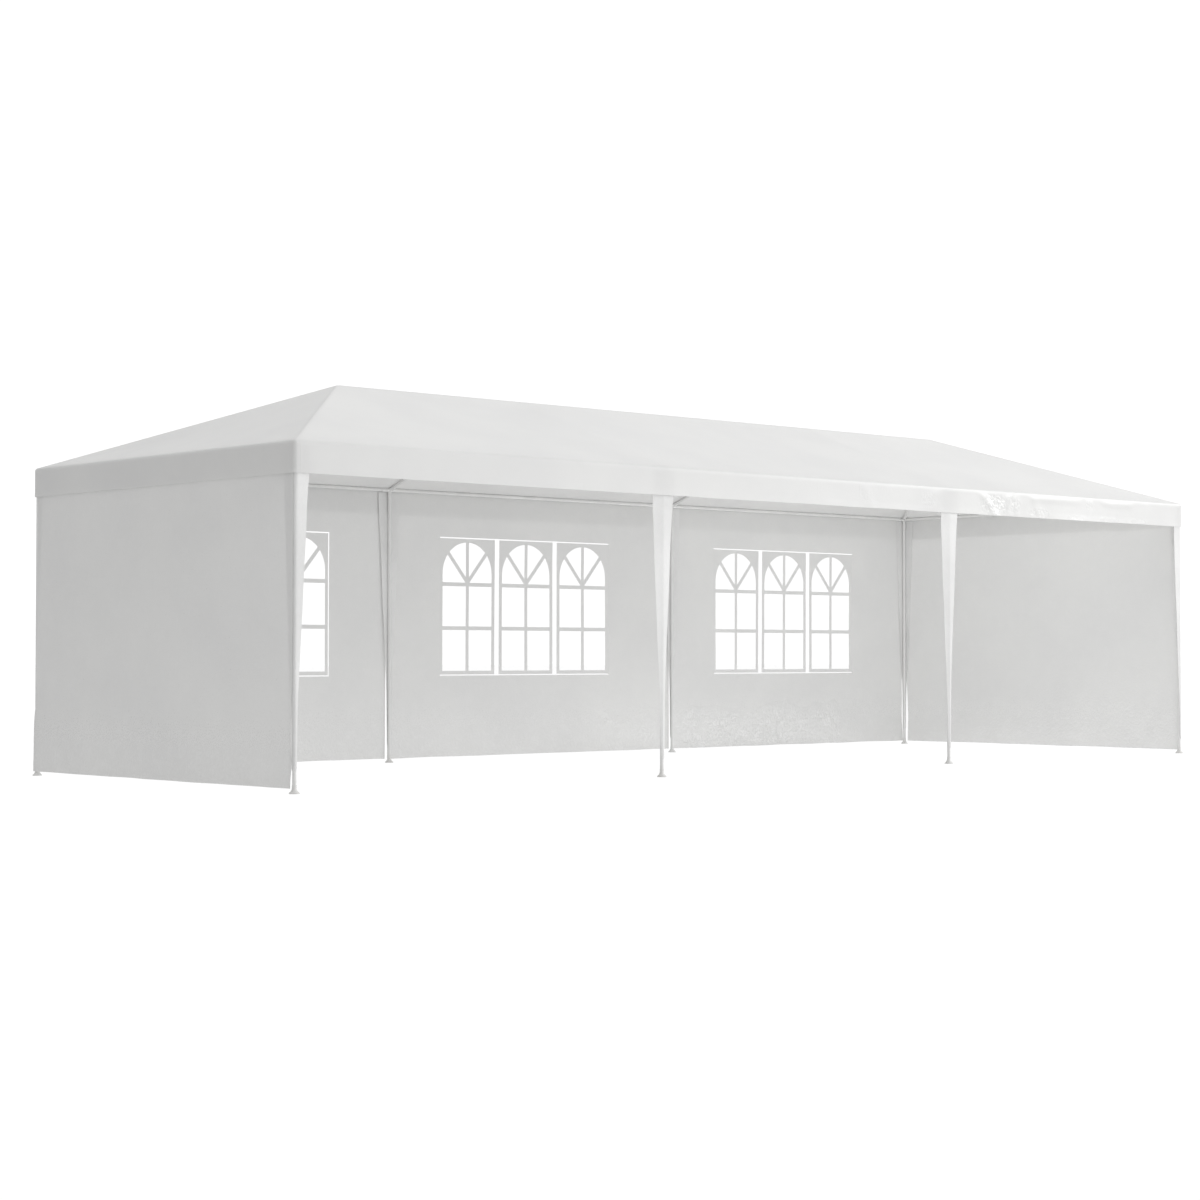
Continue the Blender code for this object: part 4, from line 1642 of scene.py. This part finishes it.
@dataclass
class Wall:
    """One hanging wall, from its first leg to its second, anticlockwise round the tent."""

    shop: Workshop
    node: str
    first: Vector
    second: Vector
    near_edge: Knots
    far_edge: Knots
    seed: float
    pitch: float = 0.02
    crumple_patches: tuple[tuple[float, float, float, float], ...] = ()
    crease_at: float | None = None
    top: float = 2.066
    thickness: float = 0.0012
    body_share: float = 0.5
    hem_width: float = 0.025
    window_number: int | None = None
    piece: bpy.types.Object | None = None

    @property
    def along(self) -> np.ndarray:
        """Unit direction from the first leg to the second."""
        return np.array((self.second - self.first).normalized())

    @property
    def out(self) -> np.ndarray:
        """Unit direction out of the tent."""
        way = self.along
        return np.array([way[1], -way[0], 0.0])

    @property
    def span(self) -> float:
        """Distance between the two legs."""
        return (self.second - self.first).length

    def window_frame(self) -> tuple[float, float, float, float]:
        """Edges of the window: near and far along the wall, bottom and top."""
        low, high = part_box(f"window_film_{self.window_number}")
        near = self.first.x - high.x
        return near, near + high.x - low.x, low.z, high.z

    def crumple(self, a: np.ndarray, z: np.ndarray) -> np.ndarray:
        """Share of crumpling, high in the named patches near the ground."""
        # The share bends the wall into facets and also places the tarpaulin finish's painted sheen
        # and painted crease shade.
        share = 0.10 + 0.14 * smoothstep(0.55, 0.15, z)
        for near, far, height, strength in self.crumple_patches:
            inside = smoothstep(near - 0.10, near + 0.20, a) * smoothstep(far + 0.10, far - 0.20, a)
            broken = 0.80 + 0.5 * perlin([a / 0.25, z / 0.18], self.seed + 5.0)
            ragged = z + 0.10 * perlin([a / 0.22, z / 0.3], self.seed + 6.0)
            patch = strength * inside * smoothstep(height + 0.10, height - 0.14, ragged) * broken
            share = np.maximum(share, patch)
        return np.clip(share, 0.0, 1.0)

    def bulge(self, a: np.ndarray, z: np.ndarray) -> np.ndarray:
        """How far the wall stands out from its plane.

        Args:
            a: Distance from the first leg.
            z: Height above the ground.

        Returns:
            Distance outwards.
        """
        span = self.span
        edge = np.minimum(a, span - a)
        free = smoothstep(1.88, 1.45, z)
        drop = np.clip((1.9 - z) / 1.9, 0.0, 1.0)
        tied = smoothstep(-0.01, 0.22, edge)
        billow = 0.010 * np.sin(np.pi * np.clip(a / span, 0, 1)) * (0.4 + 0.6 * drop)
        folds = 0.009 * perlin([a / 0.55 + 0.25 * z, z / 2.6], self.seed) * (0.25 + drop)
        slanted = 0.0022 * perlin([(a + 0.45 * z) / 0.16, (z - 0.3 * a) / 0.9], self.seed + 1.0)
        slanted *= 0.35 + drop
        flare = 0.0055 * perlin([a / 0.17, z / 0.5], self.seed + 2.0) * smoothstep(0.42, 0.05, z)
        push = (billow + folds + slanted + flare) * tied
        curl = 0.004 * perlin([z / 0.28], self.seed + 3.0) * smoothstep(0.14, 0.0, edge)
        push += np.abs(curl)
        crumple = self.crumple(a, z)
        push += 0.0085 * (facets([a / 0.055, z / 0.048], self.seed) - 0.2) * crumple
        if self.crease_at is not None:
            beside = (a - self.crease_at - 0.05 * np.sin(z * 9.0)) / 0.014
            push += 0.007 * np.exp(-beside ** 2) * smoothstep(0.46, 0.34, z)
        return push * free + 0.0006 * (1 - free)

    def place(self, a: np.ndarray, z: np.ndarray, raise_by: float = 0.0) -> np.ndarray:
        """Points of the wall's inner face, or of a layer outside it.

        Args:
            a: Distance from the first leg.
            z: Height above the ground.
            raise_by: Distance outwards from the inner face.

        Returns:
            Array of points.
        """
        push = self.shop.plan.wall_face + self.bulge(a, z) + raise_by
        base = np.array([self.first.x, self.first.y, 0.0])
        flat = base + a[..., None] * self.along + push[..., None] * self.out
        return np.concatenate([flat[..., :2], z[..., None]], axis=-1)

    def stations(self, marks: Sequence[float]) -> tuple[list[float], list[int]]:
        """Divide a length evenly between marks.

        Args:
            marks: Places that get a station of their own.

        Returns:
            The stations, and the number of the station at each mark.
        """
        stations = [marks[0]]
        numbers = [0]
        for first, last in zip(marks, marks[1:]):
            count = max(1, round(abs(last - first) / self.pitch))
            stations += [first + (last - first) * step / count for step in range(1, count + 1)]
            numbers.append(len(stations) - 1)
        return stations, numbers

    def build(self) -> "Wall":
        """Build the wall with its hems, stitches and window, and return it."""
        plan = self.shop.plan
        hem = self.hem_width
        marks = [0.0, hem, self.span - hem, self.span]
        levels = [self.top, self.top - hem, plan.wall_bottom + hem, plan.wall_bottom]
        if self.window_number is not None:
            near, far, low, high = self.window_frame()
            marks[2:2] = [near - hem, near, far, far + hem]
            levels[2:2] = [high + hem, high, low, low - hem]
        stations, columns = self.stations(marks)
        heights, rows = self.stations(levels)
        a, z = np.meshgrid(stations, heights)
        low_edge = eased_knots(self.near_edge, z, 0.05)
        high_edge = eased_knots(self.far_edge, z, 0.05) - self.span
        a = a + low_edge * smoothstep(0.35, 0.0, a) + high_edge * smoothstep(
            self.span - 0.35, self.span, a)
        sway = 0.003 * perlin([a / 0.35, 0 * a], self.seed + 4.0)
        z = z + sway * smoothstep(0.20, plan.wall_bottom, z)
        points = self.place(a, z)
        hole = None
        if self.window_number is not None:
            hole = (slice(rows[3], rows[4]), slice(columns[3], columns[4]))
        mesh = grid_mesh(points, face_corners(a + self.seed, -z), hole=hole,
                         crumple=self.crumple(a, z))
        weights = np.zeros(z.shape)
        weights[:rows[1] + 1] = weights[rows[-2]:] = 1.0
        weights[:, :columns[1] + 1] = weights[:, columns[-2]:] = 1.0
        if hole is not None:
            weights[rows[2]:rows[5] + 1, columns[2]:columns[5] + 1] = 1.0
        share = mesh.attributes.new("hem_share", "FLOAT", "POINT")
        share.data.foreach_set("value", weights.astype(np.float32).ravel())
        tidy_sheet(mesh)
        kept = np.zeros(len(mesh.vertices), dtype=np.float32)
        mesh.attributes["hem_share"].data.foreach_get("value", kept)
        mesh.attributes.remove(mesh.attributes["hem_share"])
        self.piece = register(f"cloth_{self.node}", mesh, self.shop.finishes.wall,
                              [self.node])
        thicken(self.piece, self.thickness, self.body_share, kept)
        seams = [(rows[1], slice(1, -1)), (rows[-2], slice(1, -1)),
                 (slice(1, -1), columns[1]), (slice(1, -1), columns[-2])]
        if hole is not None:
            across = slice(columns[2], columns[5] + 1)
            down = slice(rows[2], rows[5] + 1)
            seams += [(rows[2], across), (rows[5], across), (down, columns[2]),
                      (down, columns[5])]
        layer = self.out * self.thickness / 2
        paths = [points[seam] + layer for seam in seams]
        stitches = self.shop.stitches(f"{self.node}_stitches", paths, Slot.WALL, 0.013)
        size = (self.span, self.top - plan.wall_bottom)
        area = size[0] * size[1] * 0.985
        if hole is not None:
            area -= (far - near) * (high - low)
        if hole is not None:
            self.glaze(near, far, low, high)
        return self

    def glaze(self, near: float, far: float, low: float, high: float) -> None:
        """Set the clear film and its printed lattice in the window.

        Args:
            near: Near edge of the window along the wall.
            far: Far edge.
            low: Lower edge.
            high: Upper edge.
        """
        number = self.window_number
        lap = 0.010
        stations = np.linspace(near - lap, far + lap, 37)
        heights = np.linspace(high + lap, low - lap, 23)
        a, z = np.meshgrid(stations, heights)
        behind = self.thickness + 0.0003
        film_mesh = grid_mesh(self.place(a, z, behind), face_corners(a, -z))
        tidy_sheet(film_mesh)
        film = register(f"clear_window_film_{number}", film_mesh, self.shop.finishes.film,
                        [f"window_film_{number}"])
        thicken(film, 0.0004)
        prints = self.print_lattice(near, far, low, high, behind)

    def print_lattice(self, near: float, far: float, low: float, high: float, behind: float
                      ) -> bpy.types.Object:
        """Print the lattice on the inner face of the film.

        Args:
            near: Near edge of the window along the wall.
            far: Far edge.
            low: Lower edge.
            high: Upper edge.
            behind: How far the film lies outside the wall's inner face.

        Returns:
            The printed layer.
        """
        lattice = Lattice()
        number = self.window_number
        curve = bpy.data.curves.new("lattice", "CURVE")
        curve.dimensions = "2D"
        curve.fill_mode = "BOTH"
        inset = 0.0003
        panels = lattice.panels((far - near) / 2 - inset, high - low, number == 1)
        for outline in (outline for panel in panels for outline in panel):
            spline = curve.splines.new("POLY")
            spline.points.add(len(outline) - 1)
            spline.use_cyclic_u = True
            for point, (u, v) in zip(spline.points, outline):
                point.co = (u, v, 0.0, 1.0)
        carrier = bpy.data.objects.new("lattice", curve)
        bpy.context.scene.collection.objects.link(carrier)
        evaluated = carrier.evaluated_get(bpy.context.evaluated_depsgraph_get())
        mesh = bpy.data.meshes.new_from_object(evaluated)
        bpy.data.objects.remove(carrier)
        bpy.data.curves.remove(curve)
        bm = bmesh.new()
        bm.from_mesh(mesh)
        bmesh.ops.remove_doubles(bm, verts=bm.verts, dist=1e-5)
        step = 0.09
        cuts = [((value, 0, 0), (1, 0, 0)) for value in np.arange(near - far, far - near, step)]
        cuts += [((0, value, 0), (0, 1, 0)) for value in np.arange(step, high - low, step)]
        for spot, way in cuts:
            geometry = bm.verts[:] + bm.edges[:] + bm.faces[:]
            bmesh.ops.bisect_plane(bm, geom=geometry, plane_co=spot, plane_no=way, dist=1e-6)
        bm.to_mesh(mesh)
        bm.free()
        flat = np.zeros(len(mesh.vertices) * 3)
        mesh.vertices.foreach_get("co", flat)
        flat = flat.reshape(-1, 3)
        a = (near + far) / 2 - flat[:, 0]
        z = low + flat[:, 1]
        ink = 0.0003
        points = self.place(a, z, behind - ink - 0.0001)
        layer = mesh.uv_layers.new(name="cut")
        corners = np.zeros(len(mesh.loops), dtype=np.int32)
        mesh.loops.foreach_get("vertex_index", corners)
        layer.data.foreach_set("uv", np.column_stack([a, -z])[corners].astype(
            np.float32).ravel())
        mesh.vertices.foreach_set("co", points.ravel())
        mesh.update()
        if np.array([face.normal for face in mesh.polygons]).mean(axis=0) @ self.out < 0:
            mesh.flip_normals()
        mesh.shade_smooth()
        piece = register(f"window_print_{number}", mesh, self.shop.finishes.printed)
        thicken(piece, ink)
        return piece


@dataclass
class Walls:
    """The two plain end walls and the three windowed rear walls."""

    shop: Workshop

    def build(self) -> None:
        """Hang every wall."""
        plan = self.shop.plan
        depth = plan.half_depth
        left, inner_left, inner_right, right = plan.leg_xs

        def leg(x: float, side: Side) -> Vector:
            """Foot of a leg."""
            return Vector((x, side.value * depth, 0.0))

        walls = [
            Wall(self.shop, "wall_left", leg(left, Side.REAR), leg(left, Side.FRONT),
                 near_edge=((0.03, -0.019), (0.38, -0.009), (0.58, 0.030), (0.92, 0.038),
                            (1.50, 0.030), (2.05, 0.020)),
                 far_edge=((0.03, 2.987), (0.10, 2.987), (0.17, 3.004), (0.26, 2.994),
                           (0.52, 2.992), (0.66, 3.004), (2.05, 3.005)), seed=41.0),
            Wall(self.shop, "wall_right", leg(right, Side.FRONT), leg(right, Side.REAR),
                 near_edge=((0.03, 0.004), (0.45, -0.004), (1.20, 0.012), (2.05, 0.020)),
                 far_edge=((0.03, 2.978), (0.30, 2.974), (0.52, 2.985), (0.82, 3.001),
                           (2.05, 3.003)), seed=47.0),
            Wall(self.shop, "wall_rear_1", leg(inner_left, Side.REAR), leg(left, Side.REAR),
                 near_edge=((0.03, 0.026), (0.50, 0.024), (0.90, 0.022), (2.05, 0.020)),
                 far_edge=((0.03, 2.985), (2.05, 2.980)), seed=53.0, window_number=1),
            Wall(self.shop, "wall_rear_2", leg(inner_right, Side.REAR),
                 leg(inner_left, Side.REAR),
                 near_edge=((0.03, 0.020), (2.05, 0.020)),
                 far_edge=((0.03, 3.004), (1.00, 3.000), (2.05, 2.982)), seed=59.0,
                 window_number=2, crumple_patches=((0.12, 0.90, 0.34, 0.55),)),
            Wall(self.shop, "wall_rear_3", leg(right, Side.REAR), leg(inner_right, Side.REAR),
                 near_edge=((0.03, 0.000), (0.12, 0.004), (0.22, 0.016), (0.60, 0.014),
                            (0.76, -0.004), (2.05, -0.006)),
                 far_edge=((0.03, 2.980), (2.05, 2.980)), seed=67.0, window_number=3,
                 pitch=0.015, crumple_patches=((0.80, 2.95, 0.36, 1.0),), crease_at=1.62),
        ]
        for wall in walls:
            wall.build()


# Studio


@dataclass
class Studio:
    """A plain pale floor, soft light from the right and the front, and the camera."""

    camera_spot: tuple[float, float, float] = (-12.904444, -13.378605, 0.811681)
    camera_yaw: float = math.radians(42.3892)
    camera_pitch: float = math.radians(1.3130)
    lens: float = 73.436
    floor_half: float = 150.0
    floor_bounce: float = 0.623
    floor_seen: float = 0.95
    sky_base: float = 0.633
    sky_right: float = 0.359
    sky_up: float = 0.274

    def build_camera(self) -> None:
        """Stand the camera where the photograph was taken from."""
        data = bpy.data.cameras.new("view")
        data.lens = self.lens
        data.sensor_width = 36.0
        data.clip_end = 500.0
        camera = bpy.data.objects.new("view", data)
        camera.location = self.camera_spot
        camera.rotation_euler = (math.pi / 2 + self.camera_pitch, 0.0, -self.camera_yaw)
        bpy.context.scene.collection.objects.link(camera)
        bpy.context.scene.camera = camera

    def build_floor(self) -> None:
        """Lay a pale floor that burns out to white for the camera."""
        material, graph, shader = new_material("studio_floor")
        place = graph.node("ShaderNodeTexCoord").outputs["Object"]
        mottle = graph.node("ShaderNodeTexNoise", {"Vector": place, "Scale": 0.4})
        tone = graph.colour(mottle.outputs["Fac"], (0.10, 0.10, 0.10), (0.12, 0.12, 0.12))
        seen = graph.node("ShaderNodeLightPath").outputs["Is Camera Ray"]
        glow = graph.math("MULTIPLY_ADD", seen, self.floor_seen - self.floor_bounce,
                          self.floor_bounce)
        graph.tree.links.new(tone, shader.inputs["Base Color"])
        graph.tree.links.new(glow, shader.inputs["Emission Strength"])
        shader.inputs["Emission Color"].default_value = (1.0, 1.0, 1.0, 1.0)
        shader.inputs["Roughness"].default_value = 0.9
        shader.inputs["Specular IOR Level"].default_value = 0.0
        material.cycles.emission_sampling = "NONE"
        bm = bmesh.new()
        bmesh.ops.create_grid(bm, x_segments=8, y_segments=8, size=self.floor_half)
        mesh = bpy.data.meshes.new("floor")
        bm.to_mesh(mesh)
        bm.free()
        mesh.materials.append(material)
        floor = bpy.data.objects.new("studio_floor", mesh)
        bpy.context.scene.collection.objects.link(floor)

    def build_sky(self) -> None:
        """Light the tent from a sky that grows brighter to the right and the top."""
        world = bpy.data.worlds.new("studio")
        world.use_nodes = True
        graph = Graph(world.node_tree)
        world.node_tree.nodes.clear()
        way = graph.node("ShaderNodeTexCoord").outputs["Generated"]
        parts = graph.node("ShaderNodeSeparateXYZ", {0: way}).outputs
        light = graph.math("MULTIPLY_ADD", parts[0], self.sky_right, self.sky_base)
        light = graph.math("MULTIPLY_ADD", parts[2], self.sky_up, light)
        seen = graph.node("ShaderNodeLightPath").outputs["Is Camera Ray"]
        hidden = graph.math("SUBTRACT", 1.0, seen)
        strength = graph.math("MULTIPLY_ADD", light, hidden, graph.math("MULTIPLY", seen, 1.1))
        glow = graph.node("ShaderNodeBackground", {"Color": (1, 1, 1, 1), "Strength": strength})
        graph.node("ShaderNodeOutputWorld", {"Surface": glow.outputs[0]})
        bpy.context.scene.world = world

    def add_panel(self, name: str, spot: Vector, target: Vector, size: tuple[float, float],
                  power: float, reach: LightReach = LightReach.ALL) -> None:
        """Hang a soft light panel.

        Args:
            name: Name of the light.
            spot: Its centre.
            target: Point that it faces.
            size: Width and height.
            power: Power in watts.
            reach: Which part of the surfaces' shading the panel takes part in.
        """
        data = bpy.data.lights.new(name, "AREA")
        data.shape = "RECTANGLE"
        data.size, data.size_y = size
        data.energy = power
        light = bpy.data.objects.new(name, data)
        light.location = spot
        light.rotation_euler = (target - spot).to_track_quat("-Z", "Y").to_euler()
        light.visible_camera = False
        light.visible_glossy = reach is not LightReach.MATT
        light.visible_diffuse = reach is not LightReach.GLOSS
        bpy.context.scene.collection.objects.link(light)

    def build(self) -> None:
        """Set up the whole studio."""
        self.build_camera()
        self.build_floor()
        self.build_sky()
        self.add_panel("far_right_panel", Vector((15.0, -10.0, 7.2)), Vector((2.0, 0.0, 1.5)),
                       (8.0, 5.0), 896.0)
        self.add_panel("front_panel", Vector((0.0, -9.0, 0.8)), Vector((0.0, 0.0, 1.0)),
                       (9.0, 1.2), 77.5)
        self.add_panel("crease_card", Vector((3.0, 0.0, 0.012)), Vector((3.0, 0.0, 2.0)),
                       (2.9, 2.7), 45.0, LightReach.GLOSS)
        self.add_panel("inner_fill", Vector((2.4, -1.3, 1.0)), Vector((4.2, 1.4, 1.0)),
                       (1.8, 1.6), 6.5, LightReach.MATT)
        bpy.context.scene.view_settings.view_transform = "Standard"


def main() -> None:
    """Build the studio and the tent, piece by piece."""
    logging.basicConfig(level=logging.INFO, format="%(name)s: %(message)s")
    Studio().build()
    shop = Workshop(TentPlan.from_frame(), Finishes.build(), NodeMaker())
    LOG.info("plan: %s", shop.plan)
    SteelFrame(shop).build()
    cover = Cover(shop).build()
    LegDrapes(shop, cover).build()
    Walls(shop).build()


if __name__ == "__main__":
    main()
